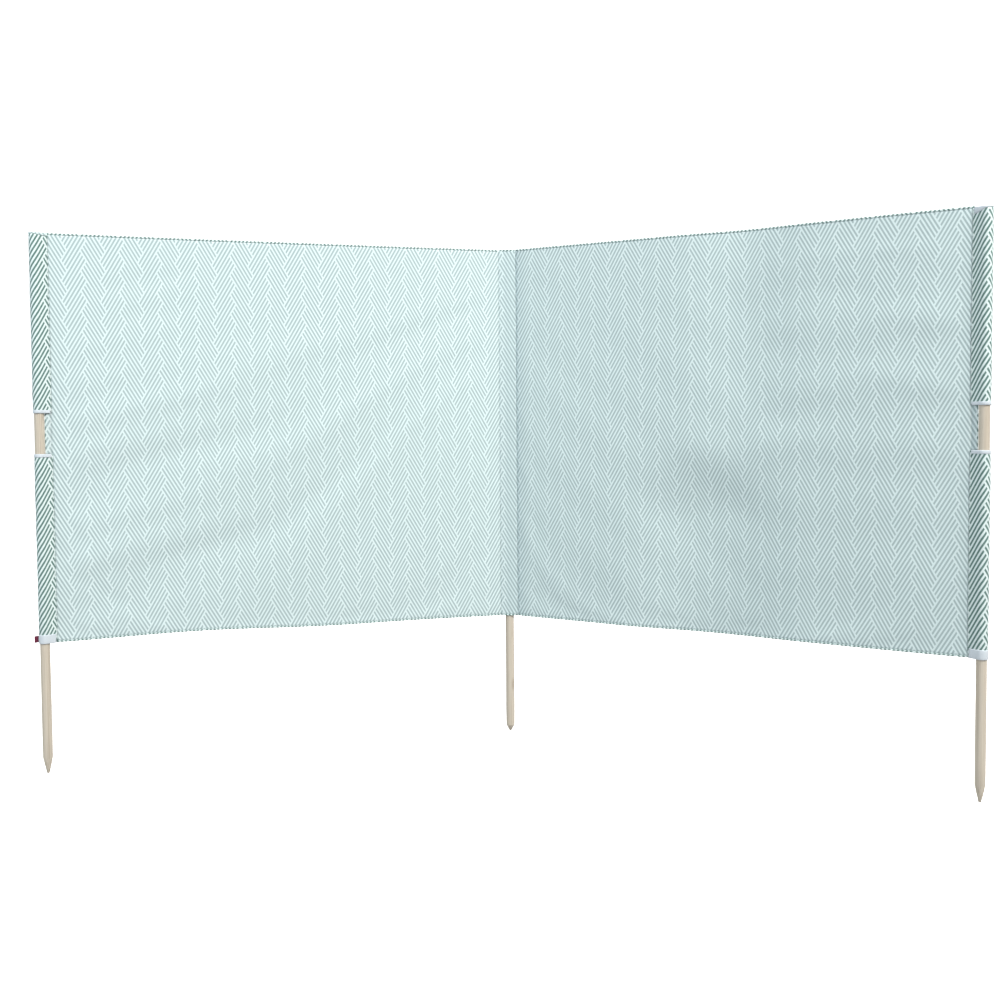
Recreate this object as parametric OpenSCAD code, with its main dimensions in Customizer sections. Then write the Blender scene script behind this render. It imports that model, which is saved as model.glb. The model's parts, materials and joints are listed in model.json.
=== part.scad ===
// Beach windbreak: two bays of cloth on three pointed wooden posts.
// Millimetres. The origin is at the tip of the middle post, +Z is up, +X runs
// towards the right bay and -Y is the hollow side, towards which both bays turn.
// Each bay folds about the seam beside the middle post.

/* [Cloth] */
// Height of the cloth
cloth_h = 1200; // [900:10:1500]
// Thickness of one layer of cloth
cloth_t = 1.6; // [1:0.1:3]
// Height of the rolled hem along the top and bottom edges
hem_h = 5; // [3:0.5:12]
// Thickness of the rolled hem
hem_t = 4; // [3:0.5:8]

/* [Bays] */
// Distance between the axes of neighbouring posts
bay_w = 1435; // [600:5:2200]
// Turn of each bay towards the hollow side
bay_turn = 23; // [5:1:40]
// Radius of the stitched edge at the fold lines beside the middle post
fold_r = 1.2; // [1.2:0.1:1.6]

/* [Posts] */
// Diameter of a post
post_d = 28; // [20:0.5:45]
// Length of post that shows below the cloth
free_h = 388; // [200:1:600]
// Length of the turned point on the two end posts
point_h = 48; // [20:1:90]
// Length of the blunter point on the middle post
middle_point_h = 20; // [10:1:60]
// Diameter of the flat tip of the two end posts
tip_d = 7; // [4:0.5:16]
// Diameter of the flat tip of the middle post
middle_tip_d = 5; // [4:0.5:16]

/* [Sleeves] */
// Gap between a post and the sleeve around it
sleeve_gap = 0.3; // [0.3:0.1:2]
// Distance from a post's axis to the seam that closes its sleeve
seam_reach = 30; // [26:1:60]
// Width of the sewn seam
seam_w = 5; // [3:0.5:10]
// Thickness of the sewn closure on top of a sleeve
closure_h = 3; // [2:0.5:8]

/* [Notches] */
// Height of the notch above the bottom edge of the cloth
notch_z = 557; // [300:1:800]
// Height of the notch
notch_h = 120; // [60:1:200]
// Distance from a post's axis to the hemmed inner edge of the notch
notch_reach = 23; // [20:0.5:26]

/* [Trim] */
// Height of the tape that binds each sleeve at the notch
tape_h = 9; // [5:0.5:20]
// How far the tape stands out from the sleeve
tape_out = 0.5; // [0.3:0.1:2]
// Height of the plain band at the foot of each sleeve
band_h = 26; // [10:1:60]
// Width of the sewn-in side tag
tag_w = 12; // [6:1:30]
// Height of the side tag
tag_h = 20; // [10:1:24]
// Thickness of the side tag
tag_t = 1.5; // [1:0.1:3]

/* [Hidden] */
$fn = 96;
post_r = post_d / 2;
sleeve_in = post_r + sleeve_gap;
sleeve_r = sleeve_in + cloth_t;
tape_r = sleeve_r + tape_out;
seam_edge = cloth_t;
fold_edge = cloth_t / 2;
seam_tip = 0.3;
cut = 1;

// Heights, measured from the tips of the posts
cloth_bottom = free_h;
cloth_top = free_h + cloth_h;
post_h = cloth_top - closure_h;
notch_bottom = cloth_bottom + notch_z;
notch_top = notch_bottom + notch_h;
band_top = cloth_bottom + band_h;
tag_bottom = cloth_bottom + (band_h - tag_h) / 2;

// Places along a bay, measured from the middle post's axis
seam_x = bay_w - seam_reach;
panel_start = seam_reach + fold_r + sleeve_gap;
hem_start = seam_reach + hem_t;
middle_reach = seam_reach - fold_r - sleeve_gap;
middle_hem_r = sleeve_in + hem_t / 2;

// Colours of the finishes
wood = "burlywood";
reverse_cloth = [0.86, 0.94, 0.93];
printed_cloth = [0.66, 0.74, 0.68];
white_tape = "white";
tag_cloth = [0.40, 0.08, 0.20];

// ---- Placing -------------------------------------------------------------

// A bay's own frame: X runs from the middle post's axis to the end post's
module left_bay() rotate([0, 0, 180 + bay_turn]) children();
module right_bay() rotate([0, 0, -bay_turn]) children();

// An end post's own frame: X runs from its axis back along the cloth
module end_post() translate([bay_w, 0, 0]) rotate([0, 0, 180]) children();

// Something that stands between two heights
module between(low, high) translate([0, 0, low]) linear_extrude(high - low) children();

// ---- Sections ------------------------------------------------------------

// A round loop of cloth drawn in to a seam on its +X side
module drop(r, reach, edge, low, high) {
    translate([0, 0, low]) cylinder(r = r, h = high - low);
    between(low, high)
        polygon([[0, 0.95 * r], [reach, edge], [reach, -edge], [0, -0.95 * r]]);
}

// The same loop, open for a post
module hollow_drop(r, low, high) {
    difference() {
        drop(r, seam_reach, seam_edge, low, high);
        drop(sleeve_in, seam_reach - seam_w, seam_tip, low - cut, high + cut);
    }
}

// The part of the middle post's surroundings that faces the hollow side
module hollow_side() {
    far = 4 * post_r;
    polygon([
        [0, 0],
        [-far * cos(bay_turn), -far * sin(bay_turn)],
        [0, -2 * far],
        [far * cos(bay_turn), -far * sin(bay_turn)]
    ]);
}

// The pocket round the middle post, drawn in to a seam on each side
module pocket(r, reach, edge, low, high) {
    left_bay() drop(r, reach, edge, low, high);
    right_bay() drop(r, reach, edge, low, high);
}

module hollow_pocket(r, reach, low, high) {
    difference() {
        pocket(r, reach, fold_edge, low, high);
        pocket(sleeve_in, seam_reach - seam_w, seam_tip, low - cut, high + cut);
    }
}

// ---- Sub-parts -----------------------------------------------------------

module post(point, tip) {
    color(wood) {
        cylinder(d1 = tip, d2 = post_d, h = point);
        translate([0, 0, point]) cylinder(d = post_d, h = post_h - point);
    }
}

// A flat strip along a bay, centred on the plane of the posts
module strip(start, low, high, thick) {
    translate([start, -thick / 2, low]) cube([seam_x - start, thick, high - low]);
}

module panel() {
    color(reverse_cloth) strip(panel_start, cloth_bottom + hem_h, cloth_top - hem_h, cloth_t);
}

module top_hem() {
    color(reverse_cloth) strip(hem_start, cloth_top - hem_h, cloth_top, hem_t);
}

module bottom_hem() {
    color(reverse_cloth) strip(hem_start, cloth_bottom, cloth_bottom + hem_h, hem_t);
}

module upper_sleeve() {
    color(printed_cloth) hollow_drop(sleeve_r, notch_top + tape_h, post_h);
}

module lower_sleeve() {
    color(printed_cloth) hollow_drop(sleeve_r, band_top, notch_bottom - tape_h);
}

module sleeve_top() {
    color(printed_cloth) drop(sleeve_r, seam_reach, seam_edge, post_h, cloth_top);
}

module tape(low) {
    color(white_tape) hollow_drop(tape_r, low, low + tape_h);
}

module foot_band() {
    color(white_tape) hollow_drop(tape_r, cloth_bottom, band_top);
}

module notch_hem() {
    color(reverse_cloth)
        translate([notch_reach, -seam_edge, notch_bottom])
            cube([seam_reach - notch_reach, 2 * seam_edge, notch_h]);
}

// The cloth passes the middle post on its hollow side, inside the fold
module front_of_middle(r, reach, low, high) {
    intersection() {
        hollow_pocket(r, reach, low, high);
        between(low - cut, high + cut) hollow_side();
    }
}

// The middle sleeve is a strip sewn on behind the cloth, round the post's back
module back_of_middle(r, low, high) {
    difference() {
        hollow_pocket(r, middle_reach, low, high);
        between(low - cut, high + cut) hollow_side();
    }
}

// The round stitched edge that a bay folds about
module fold_edge_bead(low, high) {
    translate([seam_reach, 0, low]) cylinder(r = fold_r, h = high - low);
}

module middle_cloth() {
    low = cloth_bottom + hem_h;
    high = cloth_top - hem_h;
    color(reverse_cloth) {
        front_of_middle(sleeve_r, seam_reach, low, high);
        left_bay() fold_edge_bead(low, high);
        right_bay() fold_edge_bead(low, high);
    }
}

module tag() {
    color(tag_cloth)
        translate([-tape_r - sleeve_gap - tag_w, -tag_t / 2, tag_bottom])
            cube([tag_w, tag_t, tag_h]);
}

// ---- Nodes ---------------------------------------------------------------

left_bay() end_post() post(point_h, tip_d);  // post_left
post(middle_point_h, middle_tip_d);  // post_middle
right_bay() end_post() post(point_h, tip_d);  // post_right

left_bay() panel();  // panel_left
right_bay() panel();  // panel_right
middle_cloth();

left_bay() top_hem();  // top_hem_left
color(reverse_cloth) front_of_middle(middle_hem_r, middle_reach, cloth_top - hem_h, cloth_top);  // top_hem_middle
right_bay() top_hem();  // top_hem_right

left_bay() bottom_hem();  // bottom_hem_left
color(reverse_cloth)  // bottom_hem_middle
        front_of_middle(middle_hem_r, middle_reach, cloth_bottom, cloth_bottom + hem_h);
right_bay() bottom_hem();  // bottom_hem_right

left_bay() end_post() upper_sleeve();  // upper_sleeve_left
color(printed_cloth) back_of_middle(sleeve_r, notch_top + tape_h, cloth_top);  // upper_sleeve_middle
right_bay() end_post() upper_sleeve();  // upper_sleeve_right

left_bay() end_post() lower_sleeve();  // lower_sleeve_left
color(printed_cloth) back_of_middle(sleeve_r, band_top, notch_bottom - tape_h);  // lower_sleeve_middle
right_bay() end_post() lower_sleeve();  // lower_sleeve_right

left_bay() end_post() sleeve_top();  // sleeve_top_left
color(printed_cloth) between(post_h, cloth_top) circle(post_r);  // sleeve_top_middle
right_bay() end_post() sleeve_top();  // sleeve_top_right

left_bay() end_post() tape(notch_top);  // upper_tape_left
color(white_tape) back_of_middle(tape_r, notch_top, notch_top + tape_h);  // upper_tape_middle
right_bay() end_post() tape(notch_top);  // upper_tape_right

left_bay() end_post() tape(notch_bottom - tape_h);  // lower_tape_left
color(white_tape) back_of_middle(tape_r, notch_bottom - tape_h, notch_bottom);  // lower_tape_middle
right_bay() end_post() tape(notch_bottom - tape_h);  // lower_tape_right

left_bay() end_post() foot_band();  // foot_band_left
color(white_tape) back_of_middle(tape_r, cloth_bottom, band_top);  // foot_band_middle
right_bay() end_post() foot_band();  // foot_band_right

left_bay() end_post() notch_hem();  // notch_hem_left
right_bay() end_post() notch_hem();  // notch_hem_right
left_bay() end_post() tag();  // side_tag
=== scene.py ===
"""Looks of a two-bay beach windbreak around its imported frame.

Two bays of printed cotton stand on three pointed pine posts. Each bay folds about
the seam beside the middle post. All sizes are metres in the frame of the model.
"""

import json  # noqa: E402
import logging  # noqa: E402
import math  # noqa: E402
from collections.abc import Callable, Sequence  # noqa: E402
from dataclasses import dataclass, field  # noqa: E402
from enum import Enum  # noqa: E402

import bpy  # noqa: E402
import numpy as np  # noqa: E402
from mathutils import Matrix, Vector  # noqa: E402


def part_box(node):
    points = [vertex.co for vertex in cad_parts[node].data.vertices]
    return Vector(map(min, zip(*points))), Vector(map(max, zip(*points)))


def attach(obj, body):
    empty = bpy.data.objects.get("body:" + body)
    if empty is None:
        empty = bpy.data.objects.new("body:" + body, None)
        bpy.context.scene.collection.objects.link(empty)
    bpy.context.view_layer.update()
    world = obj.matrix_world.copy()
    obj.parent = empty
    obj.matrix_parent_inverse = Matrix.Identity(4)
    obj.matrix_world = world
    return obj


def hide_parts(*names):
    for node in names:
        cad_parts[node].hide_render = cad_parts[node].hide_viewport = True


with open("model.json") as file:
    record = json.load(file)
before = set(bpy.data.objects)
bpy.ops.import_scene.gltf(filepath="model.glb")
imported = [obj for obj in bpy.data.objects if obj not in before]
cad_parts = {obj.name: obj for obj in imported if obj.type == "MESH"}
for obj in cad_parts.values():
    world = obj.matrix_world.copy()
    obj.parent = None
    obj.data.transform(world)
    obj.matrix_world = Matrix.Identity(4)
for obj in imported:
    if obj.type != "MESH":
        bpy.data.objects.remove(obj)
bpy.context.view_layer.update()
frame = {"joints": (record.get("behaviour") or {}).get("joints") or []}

log = logging.getLogger("windbreak")

CLOTH_UV = "cloth"
TAPE_THICKNESS = 0.0006
TAPE_TURN = 0.007
NOTCH_EDGE_REACH = 0.023


class Side(Enum):
    """The bay that a piece belongs to."""

    LEFT = "left"
    RIGHT = "right"

    @property
    def sign(self) -> int:
        """-1 towards the left bay, 1 towards the right one."""
        return -1 if self is Side.LEFT else 1

    @property
    def body(self) -> str:
        """The body that this bay rides on."""
        return f"{self.value}_bay"


class Face(Enum):
    """The two faces of the printed cotton."""

    REVERSE = "reverse"
    PRINTED = "printed"


# ---- Places read from the frame -------------------------------------------


@dataclass(frozen=True)
class Layout:
    """Where the frame has the posts, the folds and the edges of the cloth."""

    turn: float
    bay: float
    fold_reach: float
    post_radius: float
    post_top: float
    cloth_bottom: float
    cloth_top: float
    notch_bottom: float
    notch_top: float
    notch_edge: float
    band_top: float
    tape_height: float

    @classmethod
    def from_frame(cls) -> "Layout":
        """Reads the places from the boxes of the nodes and from the joints.

        Returns:
            The places.
        """
        low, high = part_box("post_right")
        x, y = (low.x + high.x) / 2, (low.y + high.y) / 2
        fold = frame["joints"][0]["pos_m"]
        notch_low, notch_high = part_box("notch_hem_right")
        tape_low, tape_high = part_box("upper_tape_right")
        bay = math.hypot(x, y)
        return cls(
            turn=math.atan2(-y, x),
            bay=bay,
            fold_reach=math.hypot(fold[0], fold[1]),
            post_radius=(high.x - low.x) / 2,
            post_top=high.z,
            cloth_bottom=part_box("bottom_hem_right")[0].z,
            cloth_top=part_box("top_hem_right")[1].z,
            notch_bottom=notch_low.z,
            notch_top=notch_high.z,
            notch_edge=bay - NOTCH_EDGE_REACH,
            band_top=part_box("foot_band_right")[1].z,
            tape_height=tape_high.z - tape_low.z,
        )

    @property
    def height(self) -> float:
        """Height of the cloth."""
        return self.cloth_top - self.cloth_bottom

    @property
    def seam(self) -> float:
        """Distance of a sleeve's seam from the middle post's axis."""
        return self.bay - self.fold_reach


@dataclass(frozen=True)
class BayPlane:
    """A bay's own directions: along it, out of it on the hollow side, and up."""

    layout: Layout
    side: Side

    @property
    def along(self) -> np.ndarray:
        """Unit vector from the middle post to the end post."""
        turn = self.layout.turn
        return np.array([self.side.sign * math.cos(turn), -math.sin(turn), 0.0])

    @property
    def front(self) -> np.ndarray:
        """Unit vector out of the cloth on the hollow side."""
        turn = self.layout.turn
        return np.array([-self.side.sign * math.sin(turn), -math.cos(turn), 0.0])

    def at(self, run: np.ndarray, out: np.ndarray, height: np.ndarray) -> np.ndarray:
        """Turns distances in the bay's own directions into points of the frame.

        Args:
            run: distance along the bay from the middle post's axis.
            out: distance out of the bay's plane, on the hollow side.
            height: height above the tips of the posts.

        Returns:
            The points, with their three coordinates in the last axis.
        """
        run, out, height = np.broadcast_arrays(run, out, height)
        points = run[..., None] * self.along + out[..., None] * self.front
        points[..., 2] = height
        return points

    def cloth_run(self, run: np.ndarray) -> np.ndarray:
        """Place along the cloth, which counts from the middle and grows to the right."""
        shorter = self.layout.fold_reach * (1 - math.cos(self.layout.turn))
        return self.side.sign * (np.asarray(run) - shorter)


# ---- Modelling helpers -----------------------------------------------------


def deselect_all() -> None:
    """Leaves nothing selected, so that an operator acts on the next piece only."""
    if bpy.context.object and bpy.context.object.mode != "OBJECT":
        bpy.ops.object.mode_set(mode="OBJECT")
    bpy.ops.object.select_all(action="DESELECT")


def pick(piece: bpy.types.Object) -> None:
    """Makes a piece the only selected and active one.

    Args:
        piece: the piece.
    """
    deselect_all()
    piece.select_set(True)
    bpy.context.view_layer.objects.active = piece


def edit(piece: bpy.types.Object, *steps: Callable[[], object], select: bool = True) -> None:
    """Runs operators on a piece in edit mode.

    Args:
        piece: the piece to edit.
        steps: what to call in edit mode, in order.
        select: whether all of the mesh is selected first.
    """
    pick(piece)
    bpy.ops.object.mode_set(mode="EDIT")
    if select:
        bpy.ops.mesh.select_all(action="SELECT")
    for step in steps:
        step()
    bpy.ops.object.mode_set(mode="OBJECT")


def select_where(
    piece: bpy.types.Object, kind: str, test: Callable[[object], bool]
) -> None:
    """Selects only the faces or edges of a piece that pass a test.

    Args:
        piece: the piece.
        kind: "FACE" or "EDGE".
        test: says whether a face or edge is wanted.
    """
    pick(piece)
    bpy.ops.object.mode_set(mode="EDIT")
    bpy.ops.mesh.select_mode(type=kind)
    bpy.ops.mesh.select_all(action="DESELECT")
    bpy.ops.object.mode_set(mode="OBJECT")
    for item in piece.data.polygons if kind == "FACE" else piece.data.edges:
        item.select = bool(test(item))


def apply_modifier(piece: bpy.types.Object, kind: str, **settings: object) -> None:
    """Adds one modifier to a piece and applies it.

    Args:
        piece: the piece to finish.
        kind: the modifier's type.
        settings: the modifier's settings by name.
    """
    pick(piece)
    modifier = piece.modifiers.new(kind.title(), kind)
    for name, value in settings.items():
        setattr(modifier, name, value)
    bpy.ops.object.modifier_apply(modifier=modifier.name)


def smooth(piece: bpy.types.Object) -> None:
    """Shades a piece smooth."""
    pick(piece)
    bpy.ops.object.shade_smooth()


def set_place(piece: bpy.types.Object) -> None:
    """Puts a piece's place into its mesh, with the object at the origin."""
    pick(piece)
    bpy.ops.object.transform_apply(location=True, rotation=True, scale=True)


def vertex_array(piece: bpy.types.Object) -> np.ndarray:
    """The vertices of a piece as rows of three numbers.

    Args:
        piece: the piece.

    Returns:
        Their places.
    """
    flat = np.zeros(len(piece.data.vertices) * 3)
    piece.data.vertices.foreach_get("co", flat)
    return flat.reshape(-1, 3)


def move_vertices(piece: bpy.types.Object, points: np.ndarray) -> None:
    """Puts the vertices of a piece at new points."""
    piece.data.vertices.foreach_set("co", np.ascontiguousarray(points).ravel())
    piece.data.update()


def grid_sheet(
    name: str, points: np.ndarray, cloth: np.ndarray, outward: np.ndarray
) -> bpy.types.Object:
    """Makes a sheet from a grid of points.

    Args:
        name: the piece's name.
        points: rows and columns of points, in the last axis x, y and z.
        cloth: the place of each point on the flat cloth, for the print.
        outward: rows and columns of directions that the face points to.

    Returns:
        The sheet, one layer of faces, smooth, with the cloth's places as its UV map.
    """
    rows, columns = points.shape[0] - 1, points.shape[1] - 1
    deselect_all()
    bpy.ops.mesh.primitive_grid_add(
        x_subdivisions=columns, y_subdivisions=rows, size=1, calc_uvs=True
    )
    sheet = bpy.context.object
    sheet.name = sheet.data.name = name
    flat = vertex_array(sheet)
    column = np.rint((flat[:, 0] + 0.5) * columns).astype(int)
    row = np.rint((flat[:, 1] + 0.5) * rows).astype(int)
    move_vertices(sheet, points[row, column])
    layer = sheet.data.uv_layers[0]
    layer.name = CLOTH_UV
    corner = np.zeros(len(sheet.data.loops), int)
    sheet.data.loops.foreach_get("vertex_index", corner)
    layer.data.foreach_set("uv", cloth[row, column][corner].ravel())
    normals = np.zeros(len(flat) * 3)
    sheet.data.vertices.foreach_get("normal", normals)
    if (normals.reshape(-1, 3) * outward[row, column]).sum() < 0:
        edit(sheet, bpy.ops.mesh.flip_normals)
    smooth(sheet)
    return sheet


def close_ends(piece: bpy.types.Object) -> None:
    """Joins the edges of a rolled piece that meet and closes its two ends.

    Args:
        piece: the piece.
    """
    edit(
        piece,
        lambda: bpy.ops.mesh.remove_doubles(threshold=1e-6),
        lambda: bpy.ops.mesh.fill_holes(sides=64),
        lambda: bpy.ops.mesh.normals_make_consistent(inside=False),
    )


def rolled_strip(
    name: str,
    path: np.ndarray,
    out: np.ndarray,
    up: np.ndarray,
    section: Sequence[tuple[float, float]],
    cloth_run: np.ndarray,
    cloth_start: float,
) -> bpy.types.Object:
    """Sweeps a closed rolled section along a path.

    Args:
        name: the piece's name.
        path: the points that the section follows.
        out: at each point, the section's first direction.
        up: at each point, the section's second direction.
        section: the section's points, distances in those two directions.
        cloth_run: at each point, the place along the cloth.
        cloth_start: the place across the cloth where the section starts.

    Returns:
        The strip, closed at both ends.
    """
    loop = np.array([*section, section[0]])
    around = run_along(loop)
    points = (
        path[:, None, :]
        + loop[None, :, :1] * out[:, None, :]
        + loop[None, :, 1:] * up[:, None, :]
    )
    cloth = np.stack(
        np.broadcast_arrays(cloth_run[:, None], cloth_start + around[None, :]), axis=-1
    )
    middle = loop[:-1].mean(0)
    away = (loop[None, :, :1] - middle[0]) * out[:, None, :] + (
        loop[None, :, 1:] - middle[1]
    ) * up[:, None, :]
    strip = grid_sheet(name, points, cloth, away)
    close_ends(strip)
    return strip


def thicken(sheet: bpy.types.Object, thickness: float, two_faced: bool = True) -> None:
    """Gives a sheet its thickness, equally to both sides of its middle.

    Args:
        sheet: a sheet of one layer.
        thickness: the finished thickness.
        two_faced: whether the face behind takes the sheet's second material.
    """
    apply_modifier(
        sheet,
        "SOLIDIFY",
        thickness=thickness,
        offset=0.0,
        use_even_offset=True,
        material_offset=1 if two_faced else 0,
        material_offset_rim=0,
    )


def smooth_step(value: np.ndarray, start: float, end: float) -> np.ndarray:
    """0 before start, 1 after end, and a smooth rise between them."""
    t = np.clip((np.asarray(value, float) - start) / (end - start), 0, 1)
    return t * t * (3 - 2 * t)


def run_along(points: np.ndarray) -> np.ndarray:
    """The length run at each point of a path."""
    return np.r_[0, np.cumsum(np.linalg.norm(np.diff(points, axis=0), axis=1))]


def soft_noise(x: np.ndarray, y: np.ndarray, seed: int) -> np.ndarray:
    """A smooth random surface from -1 to 1, the same on each run.

    Args:
        x: places across, in wavelengths.
        y: places up, in wavelengths.
        seed: picks one such surface.

    Returns:
        The surface's height at each place.
    """
    rng = np.random.default_rng(seed)
    total = np.zeros(np.broadcast(x, y).shape)
    for _ in range(9):
        angle, phase, pace = rng.uniform(0, 2 * math.pi, 2).tolist() + [
            float(rng.uniform(0.6, 1.5))
        ]
        total += np.sin(
            2 * math.pi * pace * (x * math.cos(angle) + y * math.sin(angle)) + phase
        )
    return total / 9 * 1.6


# ---- Shaders ---------------------------------------------------------------


class Shade:
    """A number that a shader works out, with Python's operators on it."""

    def __init__(self, shader: "Shader", socket: bpy.types.NodeSocket) -> None:
        """Wraps an output socket of a shader's node."""
        self.shader = shader
        self.socket = socket

    def math(self, operation: str, *values: "Shade | float") -> "Shade":
        """Adds one Math node.

        Args:
            operation: the node's operation.
            values: what goes into its sockets, in order.

        Returns:
            The node's result.
        """
        node = self.shader.add(
            "ShaderNodeMath", {"operation": operation}, dict(enumerate(values))
        )
        return Shade(self.shader, node.outputs[0])

    def __add__(self, other: "Shade | float") -> "Shade":
        """Sum."""
        return self.math("ADD", self, other)

    def __radd__(self, other: float) -> "Shade":
        """Sum, reflected."""
        return self.math("ADD", other, self)

    def __sub__(self, other: "Shade | float") -> "Shade":
        """Difference."""
        return self.math("SUBTRACT", self, other)

    def __rsub__(self, other: float) -> "Shade":
        """Difference, reflected."""
        return self.math("SUBTRACT", other, self)

    def __mul__(self, other: "Shade | float") -> "Shade":
        """Product."""
        return self.math("MULTIPLY", self, other)

    def __rmul__(self, other: float) -> "Shade":
        """Product, reflected."""
        return self.math("MULTIPLY", other, self)

    def __truediv__(self, other: "Shade | float") -> "Shade":
        """Quotient."""
        return self.math("DIVIDE", self, other)

    def __rtruediv__(self, other: float) -> "Shade":
        """Quotient, reflected."""
        return self.math("DIVIDE", other, self)

    def __abs__(self) -> "Shade":
        """Size without its sign."""
        return self.math("ABSOLUTE", self)

    def __ge__(self, other: "Shade | float") -> "Shade":
        """1 where this is not below the other, else 0."""
        return 1 - self.math("LESS_THAN", self, other)

    def __lt__(self, other: "Shade | float") -> "Shade":
        """1 where this is below the other, else 0."""
        return self.math("LESS_THAN", self, other)

    def floor(self) -> "Shade":
        """The whole number below."""
        return self.math("FLOOR", self)

    def fraction(self) -> "Shade":
        """What is left above the whole number below."""
        return self.math("FRACT", self)

    def sine(self) -> "Shade":
        """Sine of an angle in radians."""
        return self.math("SINE", self)

    def clamped(self) -> "Shade":
        """The same, kept from 0 to 1."""
        return self.math("MINIMUM", self.math("MAXIMUM", self, 0.0), 1.0)


Colour = tuple[float, float, float]


class Shader:
    """A material under construction, around one Principled shader."""

    def __init__(self, name: str) -> None:
        """Starts a material with its output and one Principled shader.

        Args:
            name: the material's name.
        """
        self.material = bpy.data.materials.new(name)
        self.material.use_nodes = True
        self.tree = self.material.node_tree
        self.tree.nodes.clear()
        self.surface = self.add("ShaderNodeBsdfPrincipled", {}, {})
        self.add("ShaderNodeOutputMaterial", {}, {"Surface": self.surface.outputs[0]})

    def add(
        self, kind: str, settings: dict[str, object], values: dict[int | str, object]
    ) -> bpy.types.Node:
        """Adds any node.

        Args:
            kind: the node's type.
            settings: the node's own settings, set first; "stops" are a ramp's.
            values: what each input holds or is linked to, by name or number.

        Returns:
            The new node.
        """
        node = self.tree.nodes.new(kind)
        for name, value in settings.items():
            if name == "stops":
                self._set_stops(node, value)
            else:
                setattr(node, name, value)
        for key, value in values.items():
            socket = node.inputs[key]
            if isinstance(value, Shade):
                self.tree.links.new(value.socket, socket)
            elif isinstance(value, bpy.types.NodeSocket):
                self.tree.links.new(value, socket)
            elif isinstance(value, tuple) and socket.type == "RGBA":
                socket.default_value = (*value, 1.0)
            else:
                socket.default_value = value
        return node

    @staticmethod
    def _set_stops(node: bpy.types.Node, stops: Sequence[tuple[float, Colour]]) -> None:
        """Gives a ramp its stops, each a place and a colour.

        Args:
            node: the ramp.
            stops: places and colours.
        """
        elements = node.color_ramp.elements
        while len(elements) < len(stops):
            elements.new(0.5)
        for element, (place, colour) in zip(elements, stops, strict=True):
            element.position, element.color = place, (*colour, 1.0)

    def set(self, **values: object) -> None:
        """Sets the Principled shader's inputs, with _ for a space in their names.

        Args:
            values: what each input holds or is linked to.
        """
        for name, value in values.items():
            socket = self.surface.inputs[name.replace("_", " ")]
            if isinstance(value, Shade):
                self.tree.links.new(value.socket, socket)
            elif isinstance(value, bpy.types.NodeSocket):
                self.tree.links.new(value, socket)
            else:
                socket.default_value = (*value, 1.0) if socket.type == "RGBA" else value

    def cloth_place(self) -> tuple[Shade, Shade]:
        """The place on the flat cloth: along it and up it, in metres.

        Returns:
            The two places.
        """
        uv = self.add("ShaderNodeUVMap", {"uv_map": CLOTH_UV}, {})
        parts = self.add("ShaderNodeSeparateXYZ", {}, {0: uv.outputs[0]})
        return Shade(self, parts.outputs[0]), Shade(self, parts.outputs[1])

    def object_place(self) -> bpy.types.NodeSocket:
        """The place in the frame, in metres."""
        return self.add("ShaderNodeTexCoord", {}, {}).outputs["Object"]

    def noise(
        self,
        place: bpy.types.NodeSocket,
        scale: Sequence[float],
        detail: float = 3.0,
        roughness: float = 0.55,
        distortion: float = 0.0,
    ) -> Shade:
        """A cloudy value from 0 to 1.

        Args:
            place: where the value is read.
            scale: how many lumps there are in a metre, in each direction.
            detail: how many finer layers lie on it.
            roughness: how strong the finer layers are.
            distortion: how much the lumps are drawn out of shape.

        Returns:
            The value.
        """
        mapping = self.add("ShaderNodeMapping", {}, {"Vector": place, "Scale": tuple(scale)})
        node = self.add(
            "ShaderNodeTexNoise",
            {},
            {
                "Vector": mapping.outputs[0],
                "Scale": 1.0,
                "Detail": detail,
                "Roughness": roughness,
                "Distortion": distortion,
            },
        )
        return Shade(self, node.outputs["Fac"])

    def ramp(
        self, value: Shade, stops: Sequence[tuple[float, Colour]]
    ) -> bpy.types.NodeSocket:
        """The colour that a value has on a ramp of stops."""
        return self.add("ShaderNodeValToRGB", {"stops": stops}, {0: value}).outputs[0]

    def mix(
        self,
        share: "Shade | float",
        first: "bpy.types.NodeSocket | Colour",
        second: "bpy.types.NodeSocket | Colour",
        blend: str = "MIX",
    ) -> bpy.types.NodeSocket:
        """Mixes two colours.

        Args:
            share: how much of the second there is.
            first: the colour below.
            second: the colour above.
            blend: how the second lies on the first.

        Returns:
            The mixed colour.
        """
        node = self.add(
            "ShaderNodeMix",
            {"data_type": "RGBA", "blend_type": blend, "clamp_factor": True},
            {0: share, 6: first, 7: second},
        )
        return node.outputs[2]

    def grey(self, value: Shade) -> bpy.types.NodeSocket:
        """A grey as bright as a value."""
        return self.add("ShaderNodeCombineColor", {}, {0: value, 1: value, 2: value}).outputs[0]

    def bump(self, height: Shade, strength: float, distance: float) -> None:
        """Roughens the surface by a height from 0 to 1.

        Args:
            height: the height.
            strength: how much of it shows.
            distance: how far 1 stands above 0, in metres.
        """
        node = self.add(
            "ShaderNodeBump",
            {},
            {"Strength": strength, "Distance": distance, "Height": height},
        )
        self.tree.links.new(node.outputs[0], self.surface.inputs["Normal"])

    def flat_place(self, along: Shade, up: Shade) -> bpy.types.NodeSocket:
        """A place on the flat cloth as a vector."""
        return self.add("ShaderNodeCombineXYZ", {}, {0: along, 1: up}).outputs[0]


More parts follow.
